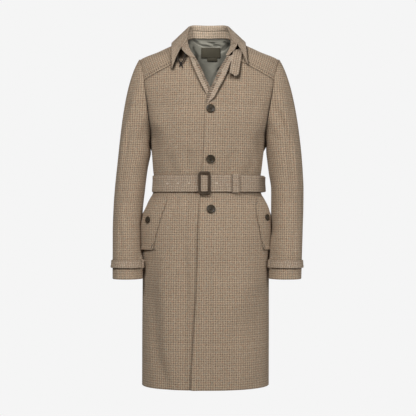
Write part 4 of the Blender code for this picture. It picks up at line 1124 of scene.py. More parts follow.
def backGrid(values):
    columns, armpit = values["columns"], levels["armpit"]
    spread = np.linspace(0, 1, columns)
    turns, heights = [], []
    for height in np.linspace(levels["hem"], armpit, values["rowsBelow"]):
        outer = seamTurn("backDepth", height)
        turns.append(-outer - spread * (math.pi - 2 * outer))
        heights.append(height + 0 * spread)

    def pastTop(angle):
        turn, height = armholeAt(angle, True)
        return backTop(reachAt(turn, height)) - height

    last = findZero(pastTop, 0.05, 2.5)
    shoulderColumns = columns * 9 // 25   # over each shoulder, and the rest behind the neck
    for angle in np.linspace(math.pi, last, values["rowsAbove"])[1:]:
        outer, outerHeight = armholeAt(angle, True)
        outerReach = reachAt(outer, outerHeight)
        share = (outerHeight - armpit) / (backTop(outerReach) - armpit)
        shoulder = np.linspace(outerReach, neckReach, shoulderColumns)
        neck = np.linspace(neckReach, -neckReach, columns + 2 - 2 * shoulderColumns)
        evenAcross = np.concatenate([shoulder, neck[1:-1], -shoulder[::-1]])
        cosine = np.cos(outer - spread * (math.pi + 2 * outer)) / np.cos(outer)
        evenAround = outerReach * rounded(cosine, bodyPower)
        across = evenAround + share * (evenAcross - evenAround)
        height = armpit + share * (backTop(np.abs(across)) - armpit)
        turns.append(-turnAt(sizeAt(body, "centre", height) + across, height))
        heights.append(height)
    return np.array(turns), np.array(heights)


def makeBack():
    turn, height = backGrid(back)
    uv = bodyUv(turn, height, -math.pi / 2)
    room = clearOfBelt(height) * below(height, *back["creaseTop"])
    room = room * above(np.abs(np.sin(turn)), 0, back["sideSeam"])
    lift = creaseField(uv[..., 0], height, backCreases) * room + backFlare(turn, height)
    clothPiece("back", *skinPair(turn, height, lift, cloth["shell"]), uv, [tweed, darkLiningAndShade], back["sheet"],
               "hung", "yoke_left_cloth", "yoke_right_cloth")


makeBack()
print("back made")


# lining inside the back of the neck, with soft sideways wrinkles, and the bare label on it
lining = {"columns": 150, "rowsBelow": 60, "rows": 240, "thinBelow": -0.19, "thinBy": 4, "foot": -0.391,
          "drop": 0.0015, "standOff": 0.0045, "deepest": 0.0022, "highest": 0.0007, "topFade": 0.006,
          "labelMiddle": 0.004, "labelSide": (0.033, 0.005), "labelLow": (-0.062, 0.005),
          "labelHigh": (-0.0125, 0.004), "collarShade": 0.64, "collarFade": 0.01, "creaseShade": 0.42,
          "creaseFade": (-0.1, 0.05), "upperShade": 0.14, "upperFade": (-0.03, 0.03), "edgeShade": 0.45,
          "edgeMiddle": -0.004, "edgeFade": (-0.014, 0.02), "darkest": 0.85, "sheet": (0.335, 0.394, 0.1056)}
liningCreases = mm([
    (-62, 10, -29, -6, 3.4, -4.6),   # folds dragged under the collar
    (-60, 2, -28, -13, 4.8, 4.4),
    (-31, -5, 6, -14.5, 3, -4.8),
    (-26, 1, 12, -8.5, 4, 3.6),
    (-30, 6.5, 40, 4.5, 3.6, 4.2),
    (-22, 0.5, 30, -1.5, 3, -4),
    (12, -6.5, 40, -10.5, 3, -4.6),
    (14, -1.5, 44, -5.5, 3.6, 3.6),
    (40, -26, 66, -3, 5, -4.8),
    (44, -36, 68, -12, 5.2, 5),
    (50, 12, 69, 3, 3.6, 3.6),
    (46, 2, 64, -7, 3, -3.4),
    (-69, -4, -46, -40, 5.5, 5.2),
    (-56, -10, -38, -52, 5, -4.2),
    (8, -86, 42, -56, 5.8, 5.6),   # below the label
    (22, -88, 44, -68, 4.6, -4.6),
    (-34, -47, -10, -90, 5.6, 4.8),
    (-44, -60, -20, -108, 5, -4),
    (-12, -88, 4, -136, 6, 4),
    (20, -92, 10, -140, 5.5, -3.6),
    (-40, -100, -20, -200, 10, 3.4),
    (36, -100, 30, -200, 10, 3.6),
])
# half the neck opening in front of the lining, whose edges keep the light off it
neckOpening = sizeTable("height half", mm([
    (-200, 5),
    (-140, 16),
    (-100, 26),
    (-56, 36),
    (-44, 42),
    (-31, 52),
    (-18, 64),
    (20, 70),
]))
label = {"low": -0.0437, "gap": 0.0014, "thick": 0.001, "bow": 0.0005, "columns": 30, "rows": 18,
         "centres": {"label": 0.0048, "label_tab": 0.009},
         "sizes": {"label": (0.062, 0.0295), "label_tab": (0.032, 0.0094)},
         "sheets": {"label": (0.061, 0.0335, 0.002), "label_tab": (0.0316, 0.0109, 0.00034)},
         "stitch": (0.0034, 0.0018, 0.00035)}
liningDepth = -cloth["shell"] - cloth["rest"]


# painted shade on the lining: under the collar's edge, in the troughs of its creases, over its upper part and
# beside the neck opening
def liningShade(x, height, crease):
    values, top = lining, height[-1]
    fromOpening = np.abs(x - values["edgeMiddle"]) - sizeAt(neckOpening, "half", height)
    shade = values["collarShade"] * (1 - below(height, top, values["collarFade"])) \
        + values["creaseShade"] * below(crease, 0, values["deepest"]) * above(height, *values["creaseFade"]) \
        + values["upperShade"] * above(height, *values["upperFade"]) \
        + values["edgeShade"] * above(fromOpening, *values["edgeFade"])
    return np.minimum(shade, values["darkest"])


# the middle three fifths of a finer back, with its rows thinned out lower down
def makeLining():
    values, cut = lining, lining["columns"] // 3
    turn, height = backGrid({"columns": values["columns"] * 5 // 3, "rowsBelow": values["rowsBelow"],
                             "rowsAbove": values["rows"]})
    number = np.arange(len(height))
    sparse = number % values["thinBy"] == len(height) % values["thinBy"]
    kept = (height[:, 0] > values["thinBelow"]) | sparse
    rows = np.nonzero((height[:, 0] > values["foot"]) & kept)[0]
    turn, height = turn[rows][:, cut:-cut], height[rows][:, cut:-cut].copy()
    height[-1] -= values["drop"]
    x = bodyPoints(turn, height)[..., 0]
    underLabel = below(np.abs(x - values["labelMiddle"]), *values["labelSide"]) \
        * above(height, *values["labelLow"]) * below(height, *values["labelHigh"])
    top = below(height, height[-1], values["topFade"])
    crease = np.clip(creaseField(x, height, liningCreases), -values["deepest"], values["highest"])
    crease = crease * (1 - underLabel) * top
    depth = liningDepth - values["standOff"] * top - crease
    rear, face = skinPair(turn, height, depth, cloth["lining"])
    clothPiece("lining_back", face, rear, bodyUv(turn, height, -math.pi / 2), [satin], values["sheet"],
               "hung", "back_cloth", slotName="lining", shade=liningShade(x, height, crease))


def makeLabel():
    values, low = label, label["low"]
    depth = liningDepth - lining["standOff"] - cloth["lining"] - values["gap"]

    def border(grid):
        return np.concatenate([grid[1, 1:-1], grid[1:-1, -2], grid[-2, -2:0:-1], grid[-2:0:-1, 1]])

    for node, (wide, tall) in values["sizes"].items():
        across, up = np.linspace(-0.5, 0.5, values["columns"]), np.linspace(0, 1, values["rows"])
        x, z = np.meshgrid(across * wide + values["centres"][node], up * tall + low)
        turn = -turnAt(x, z)
        bow = values["bow"] * np.cos(math.pi * across) * np.sin(math.pi * up)[:, None]
        rear, face = skinPair(turn, z, depth - bow, values["thick"])
        clothPiece(node, face, rear, np.stack([x, z], -1), [woven], values["sheets"][node], "laid",
                   "lining_back_cloth", slotName="label")
        if node == "label":
            out = -bodyOut(turn, z)
            sewLine("label_stitches", border(face), border(out), values["stitch"], darkThread, "label")
        low -= values["sizes"]["label_tab"][1] + cloth["seam"]   # the tab hangs under the label


makeLining()
makeLabel()
print("lining and label made")


# level sections of each sleeve from the biceps to the cuff
sleeveSections = {
    1: sizeTable("height x y halfWidth halfDepth", mm([
        (-357, 231.5, 4, 54.2, 73),
        (-412, 237, 4, 52.8, 70),
        (-468, 241.8, 0, 50, 67),
        (-524, 240.8, -9, 49.8, 64),
        (-598, 239.3, -22, 48, 61),
        (-672, 236.6, -36, 47.4, 59),
        (-742, 233.8, -46, 47.4, 58),
    ])),
    -1: sizeTable("height x y halfWidth halfDepth", mm([
        (-357, -231.5, 4, 50, 73),
        (-412, -240, 4, 47.4, 70),
        (-468, -246, 0, 46.8, 67),
        (-524, -250.5, -9, 45.4, 64),
        (-598, -253, -22, 44.3, 61),
        (-672, -252.7, -36, 43.7, 59),
        (-742, -252, -46, 43.8, 58),
    ])),
}
# how the sleeve leaves the armhole, by angle round it: 0 at the shoulder, 180 under the arm
sleeveLeaving = sizeTable("angle out forward down reach", [
    (0, 0.47, 0.00, 0.88, 0.7),
    (60, 0.7, 0.25, 0.66, 0.7),
    (110, 0.7, 0.42, 0.58, 0.6),
    (150, 0.45, 0.3, 0.84, 0.7),
    (180, 0.12, 0.00, 1.00, 0.8),
])
sleeve = {"frontSeam": math.radians(152), "backSeam": math.radians(226), "turn": 0.42, "lap": 0.0045,
          "arriving": 0.1, "seam": 0.004, "capRows": 68, "armRows": 102, "capSpacing": 1.25,
          "topColumns": 96, "underColumns": 40, "power": 2 / 2.2, "middle": (0.05, 0.067),
          "lean": 0.0058, "leanAt": 172, "leanSpread": 17, "leanFade": 0.06,
          "leanFrom": {1: -0.596, -1: -0.652}, "capIn": 0.06, "topUv": math.radians(-140),
          "underUv": math.radians(-100), "closeRows": np.linspace(-0.009, 0.003, 9),
          "armholeShade": (0.8, 0.2), "shadeFrom": (105, 40), "shadeTo": (200, 30),
          "strapShade": (0.6, 0.0045), "strapAbove": 0.004, "topSheet": (0.36, 0.688, 0.1625),
          "underSheet": (0.124, 0.472, 0.0475)}
armLength = levels["biceps"] - levels["cuff"]


def sleevePoints(side, angle, run):
    rows = sleeveSections[side]
    turned = angle - sleeve["turn"] * np.sin(angle)

    def ring(height):
        across = sizeAt(rows, "halfWidth", height) * rounded(np.cos(turned), sleeve["power"])
        deep = sizeAt(rows, "halfDepth", height) * rounded(np.sin(turned), sleeve["power"])
        x = sizeAt(rows, "x", height) + side * across
        return np.stack([x, sizeAt(rows, "y", height) - deep, height + 0 * x], -1)

    wrapped = np.abs((angle + math.pi) % (2 * math.pi) - math.pi)
    inFront = np.sin(angle) >= 0
    frontTurn, frontHeight = armholeAt(wrapped, False, sleeve["lap"])
    backTurn, backHeight = armholeAt(wrapped, True, sleeve["lap"])
    turn = mirrored(np.where(inFront, frontTurn, backTurn), side)
    height = np.where(inFront, frontHeight, backHeight)
    lift = cloth["shell"] + cloth["rest"] + hollowLift(turn, height) + backFlare(turn, height)
    start, end = skinAt(turn, height, lift), ring(levels["biceps"] + 0 * angle)
    degrees = np.degrees(wrapped)
    leaving = unit(np.stack([side * sizeAt(sleeveLeaving, "out", degrees),
                             sizeAt(sleeveLeaving, "forward", degrees) * np.where(inFront, -1, 1),
                             -sizeAt(sleeveLeaving, "down", degrees)], -1))
    arriving = unit(np.array([side * sleeve["arriving"], 0.0, -1.0]))
    gap = np.linalg.norm(end - start, axis=-1, keepdims=True)
    t = np.minimum(run, 1)[..., None]
    upper = ((1 + 2 * t) * (1 - t) ** 2 * start + t * t * (3 - 2 * t) * end
             + t * (1 - t) ** 2 * gap * sizeAt(sleeveLeaving, "reach", degrees)[..., None] * leaving
             - t * t * (1 - t) * gap * arriving)
    lower = ring(levels["biceps"] - (np.maximum(run, 1) - 1) * armLength)
    return np.where(run[..., None] < 1, upper, lower)


def sleeveOut(side, angle, run):
    around = sleevePoints(side, angle + 0.02, run) - sleevePoints(side, angle - 0.02, run)
    along = sleevePoints(side, angle, run + 0.01) - sleevePoints(side, angle, run - 0.01)
    return unit(np.cross(around, along)) * side


def runAt(height):
    return 1 + (levels["biceps"] - height) / armLength


def sleeveSkin(side, angle, run, lift):
    angle, run = np.broadcast_arrays(np.asarray(angle, float), np.asarray(run, float))
    lean = bell(np.degrees(angle) % 360 - sleeve["leanAt"], sleeve["leanSpread"])
    lift = lift + sleeve["lean"] * lean * above(run, runAt(sleeve["leanFrom"][side]), sleeve["leanFade"])
    lift = np.broadcast_to(lift, angle.shape)[..., None]
    return sleevePoints(side, angle, run) + sleeveOut(side, angle, run) * lift


# the sleeve's check: round the arm at its middle, and straight down
armTurns = np.linspace(-math.pi, 2 * math.pi, 1081)
armSections = np.stack([sleeve["middle"][0] * rounded(np.cos(armTurns), sleeve["power"]),
                        sleeve["middle"][1] * rounded(np.sin(armTurns), sleeve["power"])], -1)
armArc = np.append(0, np.cumsum(np.linalg.norm(np.diff(armSections, axis=0), axis=-1)))


def sleeveUv(side, points, firstTurn):
    rows, height = sleeveSections[side], points[..., 2]
    rise = np.maximum(height - levels["biceps"], 0)
    across = side * (points[..., 0] - sizeAt(rows, "x", height)) + sleeve["capIn"] * rise
    across = rounded(across / sizeAt(rows, "halfWidth", height), 1 / sleeve["power"])
    deep = (sizeAt(rows, "y", height) - points[..., 1]) / sizeAt(rows, "halfDepth", height)
    turned = np.arctan2(rounded(deep, 1 / sleeve["power"]), across)
    turned = (turned - firstTurn) % (2 * math.pi) + firstTurn
    around = np.interp(turned, armTurns, armArc) - np.interp(math.pi / 2, armTurns, armArc)
    return np.stack([around, height], -1)


# sleeve creases by angle in degrees and run (0 armhole, 1 biceps, 2 cuff); a run is about 60 degrees wide
sleeveCreases = {
    1: [
        (100, 0.1, 98, 1.35, 7, -0.0065), (82, 0.12, 84, 1.2, 8, 0.003),
        (116, 0.15, 112, 1.2, 7, 0.0026), (40, 0.05, 60, 0.7, 10, -0.0025),
        (130, 0.55, 100, 1.00, 9, -0.0035), (60, 1.3, 120, 1.44, 7, -0.004),
        (75, 1.46, 130, 1.56, 7, 0.003), (20, 1.38, 70, 1.24, 8, -0.0028),
        (-60, 0.15, -80, 0.95, 10, -0.0045), (-100, 0.4, -90, 1.3, 9, -0.004),
        (-40, 1.3, -110, 1.45, 9, -0.0045), (-30, 1.5, -100, 1.62, 9, 0.003),
        (95, 1.6, 92, 1.86, 9, -0.002), (180, 0.55, 215, 0.8, 9, -0.0035),
        (165, 1.3, 215, 1.42, 9, -0.0035),
    ],
    -1: [
        (92, 0.12, 84, 1.1, 8, -0.0045), (112, 0.14, 108, 1.00, 8, 0.003),
        (70, 0.15, 66, 1.3, 12, 0.0028), (125, 0.6, 98, 1.05, 9, -0.0038),
        (50, 0.08, 46, 0.7, 9, -0.0025), (62, 1.34, 125, 1.46, 7, -0.0042),
        (70, 1.5, 128, 1.6, 8, 0.0028), (15, 1.42, 62, 1.28, 8, -0.003),
        (-62, 0.15, -82, 0.95, 10, -0.0045), (-100, 0.4, -92, 1.3, 9, -0.004),
        (-42, 1.34, -110, 1.48, 9, -0.0045), (-28, 1.54, -96, 1.66, 9, 0.003),
        (98, 1.58, 96, 1.86, 9, -0.0022), (180, 0.58, 215, 0.82, 9, -0.0035),
        (165, 1.34, 215, 1.46, 9, -0.0035),
    ],
}
# where a sleeve's creases may run, by run, seam angle and degrees from the side against the coat
sleeveRoom = {"strap": (0.016, 0.006), "cap": 0.12, "cuff": 0.08, "seam": 0.1, "inside": (25, 40),
              "degrees": 60}


# painted shade on a sleeve beside the armhole and under the cuff strap
def sleeveShade(angle, run, points):
    degrees = np.degrees(angle) % 360 + 0 * run
    besideArmhole = above(degrees, *sleeve["shadeFrom"]) * (1 - above(degrees, *sleeve["shadeTo"]))
    underStrap = levels["strapLow"] - points[..., 2]
    strap = paintedShadeAt(underStrap, *sleeve["strapShade"]) * (underStrap > -sleeve["strapAbove"])
    return np.maximum(besideArmhole * paintedShadeAt(run, *sleeve["armholeShade"]), strap)


def makeSleeve(side):
    word, gap = sideNames[side], sleeve["seam"]
    run = np.concatenate([np.linspace(0, 1, sleeve["capRows"]) ** sleeve["capSpacing"],
                          runAt(levels["strapLow"] + sleeve["closeRows"]),
                          np.linspace(1, 2, sleeve["armRows"])[1:]])
    run = np.sort(run)[:, None]
    fromStrap = np.abs(run - runAt(cuff["height"])) * armLength
    room = (1 - below(fromStrap, *sleeveRoom["strap"])) * above(run, 0, sleeveRoom["cap"])
    room = room * below(run, 2, sleeveRoom["cuff"])
    perRun = sleeveRoom["degrees"]
    creases = [(a0, r0 * perRun, a1, r1 * perRun, *form) for a0, r0, a1, r1, *form in sleeveCreases[side]]
    spans = {"top": (sleeve["backSeam"] - 2 * math.pi + gap, sleeve["frontSeam"] - gap),
             "under": (sleeve["frontSeam"] + gap, sleeve["backSeam"] - gap)}
    for half, (start, end) in spans.items():
        angle = np.linspace(start, end, sleeve[half + "Columns"])[None, :]
        seams = above(angle, start, sleeveRoom["seam"]) * below(angle, end, sleeveRoom["seam"])
        crease = creaseField(np.degrees(angle) + 0 * run, run * perRun + 0 * angle, creases) * room * seams
        crease = crease * above(np.abs(np.degrees(angle) % 360 - 180), *sleeveRoom["inside"])
        outer, inner = (sleeveSkin(side, angle, run, crease - thick) for thick in (0.0, cloth["shell"]))
        uv = sleeveUv(side, sleeveSkin(side, angle, run, 0.0), sleeve[half + "Uv"])
        clothPiece(f"sleeve_{word}_{half}", outer, inner, uv, [tweed, darkLiningAndShade], sleeve[half + "Sheet"],
                   "hung", f"yoke_{word}_cloth", shade=sleeveShade(angle, run, outer))


# cuff straps and their loops
cuff = {"height": -0.6945, "width": 0.0215, "columns": 160, "rows": 12, "roll": 0.0006, "rollPower": 6,
        "gape": 0.0026, "gapeFrom": (0.4, 1.4), "gapeAround": (0.6, 0.4), "stitch": (0.0045, 0.0022, 0.00034),
        "loopAt": math.radians(162), "loopHalf": 0.055, "loopBelow": 0.006, "loopAbove": 0.014,
        "loopGape": 0.8, "loopRows": 60, "loopColumns": 9, "loopSoft": 3, "bendIn": 0.0008, "bendOut": 0.0032,
        "strapSheet": (0.375, 0.022, 0.0081), "loopSheet": (0.0104, 0.0498, 0.0005)}


# pale stitches along both edges of a strap
def sewEdges(name, outer, out, stitch, closed=False):
    for row, edge in ((1, "low"), (-2, "high")):
        line, up = (np.vstack([grid[row], grid[row, :1]]) if closed else grid[row] for grid in (outer, out))
        sewLine(f"{name}_stitches_{edge}", line, up, stitch, paleThread)


def makeCuffStrap(side):
    word = sideNames[side]
    angle = np.linspace(0, 2 * math.pi, cuff["columns"] + 1)[None, :-1]
    across = np.linspace(-1, 1, cuff["rows"])[:, None]
    run = runAt(cuff["height"] + cuff["width"] / 2 * across)
    least, more = cuff["gapeAround"]
    gape = cuff["gape"] * below(across, *cuff["gapeFrom"]) * (least + more * np.sin(angle))
    gape = cloth["strapGap"] + gape
    outer = sleeveSkin(side, angle, run, gape + cloth["strap"] - cuff["roll"] * across ** cuff["rollPower"])
    inner = sleeveSkin(side, angle, run, gape)
    clothPiece(f"cuff_strap_{word}", outer, inner, gridUv(outer, closed=True), [tweedBias],
               cuff["strapSheet"], "stretched", f"sleeve_{word}_top_cloth", closed=True)
    out = sleeveOut(side, *np.broadcast_arrays(angle, run))
    sewEdges(f"cuff_strap_{word}", outer, out, cuff["stitch"], closed=True)


# the loop comes off the sleeve, goes over the strap and is sewn down again above it
def makeCuffLoop(side):
    word, half, rest = sideNames[side], cuff["width"] / 2, cloth["rest"]
    over = cloth["strapGap"] + cuff["gape"] * cuff["loopGape"] + rest + cloth["strap"]
    path = np.array([(-half - cuff["loopBelow"], rest), (-half - cuff["bendOut"], rest),
                     (-half - cuff["bendIn"], over), (half + cuff["bendIn"], over),
                     (half + cuff["bendOut"], rest), (half + cuff["loopAbove"], rest)])
    steps = np.append(0, np.cumsum(np.linalg.norm(np.diff(path, axis=0), axis=-1)))
    fine = np.linspace(0, steps[-1], cuff["loopRows"])
    walk, plain = (np.interp(fine, steps, path[:, k]) for k in range(2))
    soft = 2 * cuff["loopSoft"] + 1
    eased = np.convolve(np.pad(plain, cuff["loopSoft"], "edge"), np.ones(soft) / soft, "valid")
    lift = np.maximum(eased, plain)[:, None]
    angle = cuff["loopAt"] + np.linspace(-1, 1, cuff["loopColumns"])[None, :] * cuff["loopHalf"]
    run = runAt(cuff["height"] + walk)[:, None]
    outer, inner = (sleeveSkin(side, angle, run, lift + thick) for thick in (cloth["facing"], 0.0))
    clothPiece(f"cuff_loop_{word}", outer, inner, gridUv(outer), [tweedBias], cuff["loopSheet"], "stretched",
               f"cuff_strap_{word}_cloth")


for side in sideNames:
    makeSleeve(side)
    makeCuffStrap(side)
    makeCuffLoop(side)
print("sleeves and cuffs made")


# front edges turned out above the top button, rolled round the fold line and a little way inside
def makeFacing(side):
    word, foot = sideNames[side], facing[sideNames[side] + "Foot"]
    height = np.linspace(foot, facing[word + "Top"], facing["rows"])[:, None]
    fold = sizeAt(edges, word, height)
    edge = fold + side * sizeAt(facingWidths, word, height)
    if side < 0:
        fold = np.minimum(fold, sizeAt(edges, "left", height) - facing["foldGap"])
    spread = np.linspace(0, 1, facing["columns"])[None, :]
    x = fold + spread * (edge - fold)
    height = height + 0 * x
    turn = turnAt(x, height)
    lift = cloth["rest"] + (overlapLift(turn, height) if side > 0 else 0 * turn)
    puff = facing["roll"] * bell(spread, facing["rollWidth"])
    puff = puff + facing["edgeLift"] * above(spread, *facing["edgeFrom"])
    lift = lift + puff * above(height, foot, facing["footFade"])

    turned, faces = facing["foldTurn"][None, :], []
    for thick in (cloth["facing"], 0.0):
        radius = facing["foldRadius"] + thick
        wrapX = fold - side * radius * np.sin(turned)
        wrapLift = lift[:, :1] - facing["foldRadius"] + radius * np.cos(turned)
        wrap = skinAt(turnAt(wrapX, height[:, :1]), height[:, :1], wrapLift)
        faces.append(np.hstack([wrap, skinAt(turn, height, lift + thick)]))
    ribs = gridUv(faces[0]) * np.array([facing["ribs"], 1.0])
    clothPiece(f"facing_{word}", *faces, ribs, [tweedRib], facing[word + "Sheet"], "folded",
               f"front_{word}_cloth")
    out = bodyOut(turn[:, -3], height[:, -3])
    sewLine(f"facing_{word}_stitches", faces[0][3:-1, -3], out[3:-1], facing["stitch"], paleThread)


for side in sideNames:
    makeFacing(side)
print("lapels made")


# half of the collar from centre back (0) to its front end (1): neck seam and roll line
collarHalf = [
    (0.000, 0.0000, 0.0725, 0.0118, 0.0000, 0.068, 0.0505),
    (0.23, 0.055, 0.0556, 0.0102, 0.043, 0.056, 0.05),
    (0.39, 0.0755, 0.03, 0.002, 0.061, 0.031, 0.043),
    (0.555, 0.0755, -0.002, 0.002, 0.0665, -0.006, 0.023),
    (0.74, 0.066, -0.052, -0.0275, 0.0725, -0.0425, -0.006),
    (0.86, 0.0595, -0.069, -0.043, 0.0838, -0.0715, -0.0325),
    (1.000, 0.0465, -0.0868, -0.0655, 0.059, -0.0872, -0.0648),
]
collarFlip = np.array([-1, -1, 1, 1, -1, 1, 1])
collarLines = sizeTable("along seamX seamY seamZ rollX rollY rollZ",
                        collarHalf + [tuple(collarFlip * row) for row in collarHalf[1:]])
# half of the fall's outer edge, from centre back (0) to its point (1)
fallHalf = [
    (0.00, 0.000, 0.096, -0.014),
    (0.25, 0.064, 0.086, -0.014),
    (0.42, 0.099, 0.052, -0.012),
    (0.6, 0.111, -0.004, -0.014),
    (0.8, 0.1125, -0.071, -0.046),
    (1.00, 0.113, -0.104, -0.096),
]
fallFlip = np.array([-1, -1, 1, 1])
fallLines = sizeTable("along edgeX edgeY edgeZ", fallHalf + [tuple(fallFlip * row) for row in fallHalf[1:]])
collar = {"tilt": 0.06, "shift": {"seam": (0.0, 0.004), "roll": (-0.002, 0.001), "edge": (-0.003, 0.001)},
          "rollDrop": 0.0035, "dropTo": (0.35, 0.35), "bulge": 0.0035, "kneeShare": 0.35, "fallEnd": 0.86,
          "columns": 210, "standRows": 22, "fallRows": 42, "ringRows": 16, "tailRows": 14, "turnOver": 0.0125,
          "turnLeast": 0.001, "turnEnd": 0.1, "seamClear": 0.002, "paintedLightTo": 0.37, "paintedLightRows": 6,
          "side": (0.36, 0.14), "thick": 0.0028, "neckThin": (0.45, 0.25), "edgeThick": 0.3,
          "edgeFrom": (0.75, 0.2), "openTurn": math.radians(105), "openFrom": (0.45, 0.35),
          "seamStitch": (0.005, 0.0026, 0.0004), "edgeStitch": (0.0052, 0.0026, 0.0004),
          "standSheet": (0.496, 0.0426, 0.01235), "fallSheet": (0.632, 0.1131, 0.04)}


def collarLine(line, along):
    table, front = (fallLines, 1) if line == "edge" else (collarLines, collar["fallEnd"])
    x, y, z = (sizeAt(table, line + axis, along) for axis in "XYZ")
    z = z + collar["tilt"] * x * np.clip(along / front, -1, 1) ** 4
    atBack, inFront = collar["shift"][line]
    return np.stack([x + atBack + (inFront - atBack) * along ** 4, y, z], -1)


def gridNormals(grid):
    return unit(np.cross(np.gradient(grid, axis=1), np.gradient(grid, axis=0)))


def standGrid(along):
    seam, roll = collarLine("seam", along), collarLine("roll", along)
    roll[:, 2] -= collar["rollDrop"] * (1 - above(np.abs(along), *collar["dropTo"]))
    share = np.linspace(0, 1, collar["standRows"])[:, None, None]
    return seam + share * (roll - seam)


def makeStand():
    along = np.linspace(-1, 1, collar["columns"])
    stand = standGrid(along)
    # the middle of the band at the back takes the lighter tweed, painted light
    pale = np.broadcast_to(np.abs(along) < collar["paintedLightTo"], stand.shape[:2])
    clothPiece("collar_stand", stand + gridNormals(stand) * cloth["shell"], stand, gridUv(stand),
               [tweedBias, tweedPaintedLight, feltAndShade], collar["standSheet"], "folded", "back_cloth", second=pale)


# the fall starts on the neck side of the stand, rolls over its top and comes down outside
def makeFall():
    along = np.linspace(-collar["fallEnd"], collar["fallEnd"], collar["columns"])
    stand, far = standGrid(along), np.abs(along)
    seam, roll = stand[0], stand[-1]
    toNeck, over = gridNormals(stand)[-1], unit(roll - seam)
    edge = collarLine("edge", along / collar["fallEnd"])
    out, up = unit(roll * np.array([1, 1, 0])), np.array([0, 0, 1.0])
    middle, radius = roll + toNeck * cloth["shell"] / 2, cloth["shell"] / 2 + cloth["rest"]
    toSide = above(far, *collar["side"])
    whole = np.linalg.norm(roll - seam, axis=-1) - collar["seamClear"]
    reach = collar["turnOver"] + (whole - collar["turnOver"]) * toSide
    least = collar["turnLeast"]
    reach = least + (reach - least) * below(far, collar["fallEnd"], collar["turnEnd"])
    down = np.linspace(1, 0, collar["tailRows"])[:-1, None, None]
    tail = middle + toNeck * radius - over * down * reach[None, :, None]
    lastTurn = math.pi - (math.pi - collar["openTurn"]) * above(far, *collar["openFrom"])

    def rolled(turn):
        return middle + radius * (np.cos(turn) * toNeck + np.sin(turn) * over)

    ring = rolled(np.linspace(0, 1, collar["ringRows"])[:-1, None, None] * lastTurn[:, None])
    first = rolled(lastTurn[:, None])
    knee = first + collar["kneeShare"] * (edge - first) + collar["bulge"] * (out + up)
    share = np.linspace(0, 1, collar["fallRows"])[:, None, None]
    fall = (1 - share) ** 2 * first + 2 * share * (1 - share) * knee + share ** 2 * edge
    inner = np.concatenate([tail, ring, fall])
    normals = gridNormals(inner)
    normals = normals * np.sign((normals[0] * toNeck).sum(-1))[None, :, None]
    thin, (least, more) = np.ones(inner.shape[:2]), collar["neckThin"]
    thin[:len(tail)] = 1 - down[..., 0] * (least + more * toSide)   # its neck edge is pressed flat
    thin[-len(fall):] = 1 + collar["edgeThick"] * above(share[..., 0], *collar["edgeFrom"])
    outer = inner + normals * (collar["thick"] * thin)[..., None]
    # the turned-over tail at the back takes the lighter tweed, painted light
    pale = (np.arange(len(inner)) < len(tail) + collar["paintedLightRows"])[:, None] & (far < collar["paintedLightTo"])
    clothPiece("collar_fall", outer, inner, gridUv(outer), [tweedBias, tweedPaintedLight, feltAndShade], collar["fallSheet"],
               "folded", "collar_stand_cloth", second=pale)
    atBack = np.nonzero(far < collar["paintedLightTo"])[0]
    for name, row, columns, thread in (("seam", 1, atBack, darkThread),
                                       ("edge", -3, slice(3, -3), paleThread)):
        sewLine(f"collar_{name}_stitches", outer[row, columns], normals[row, columns],
                collar[name + "Stitch"], thread)


makeStand()
makeFall()
print("collar made")


def makeThroatTab():
    values = throatTab
    share = np.linspace(0, 1, values["rows"])[:, None]
    across = np.linspace(-0.5, 0.5, values["columns"])[None, :]
    past = (share - values["roundFrom"]).clip(0) / (1 - values["roundFrom"])
    x = values["topX"] + share * (values["tipX"] - values["topX"]) \
        + across * values["width"] * np.sqrt(1 - values["roundness"] * past ** 2)
    height = values["top"] + share * (values["tip"] - values["top"]) - across * values["slant"]
    lift = values["lift"] + values["flare"] * share + values["bow"] * (1 - (2 * across) ** 2) * share
    turn = turnAt(x, height)
    outer, inner = skinPair(turn, height, lift + cloth["shell"], cloth["shell"])
    clothPiece("throat_tab", outer, inner, gridUv(outer), [tweedBias], values["sheet"], "hung",
               "front_left_cloth", "yoke_left_cloth")
    line, out = (np.concatenate([grid[4:-4, 2], grid[-4, 3:-3], grid[-5:3:-1, -3]])
                 for grid in (outer, bodyOut(turn, height)))
    sewLine("throat_tab_stitches", line, out, values["stitch"], paleThread)


makeThroatTab()
print("throat tab made")


# how far the belt stands off the coat, by angle: 0 wearer's left, 90 front, 180 right, 270 back
beltStand = sizeTable("angle lift", [
    (-90, 0.0014),
    (-40, 0.0035),
    (0, 0.0095),
    (30, 0.006),
    (60, 0.0044),
    (100, 0.0042),
    (125, 0.0024),
    (150, 0.0016),
    (180, 0.0014),
    (270, 0.0014),
])
belt = {"width": 0.05, "rows": 26, "columns": 360, "edgeRoll": 0.0007, "edgePower": 8, "sway": (0.0004, 3),
        "wave": (0.0005, 5), "droop": 0.006, "tailFrom": math.radians(-28), "tailTo": math.radians(95.7),
        "tailColumns": 260, "shade": 0.5, "shadeFrom": (0.14, 0.026), "stitch": (0.0048, 0.0026, 0.00042),
        "sheet": (0.955, 0.0495, 0.0462), "tailSheet": (0.342, 0.0482, 0.0159)}
# the keeper's bend at each edge: corners inward, share of the lift, corners cut off
keeper = {"from": 0.0675, "to": 0.086, "play": 0.0012, "depth": 0.003, "bulge": 0.0012, "corner": 0.0012,
          "bend": np.array([(0, 0, 0), (0, 0.5, 0), (0, 1, 1.1), (0.3, 1, 0.35), (1, 1, 0)]), "rows": 30,
          "columns": 14, "shade": (0.62, 0.003), "shadeGap": 0.001, "sheet": (0.0212, 0.0789, 0.00164)}


def beltLift(turn):
    return sizeAt(beltStand, "lift", (np.degrees(turn) + 90) % 360 - 90)


# painted shade where the belt turns away at the wearer's left
def beltShade(x):
    return belt["shade"] * above(x, *belt["shadeFrom"])


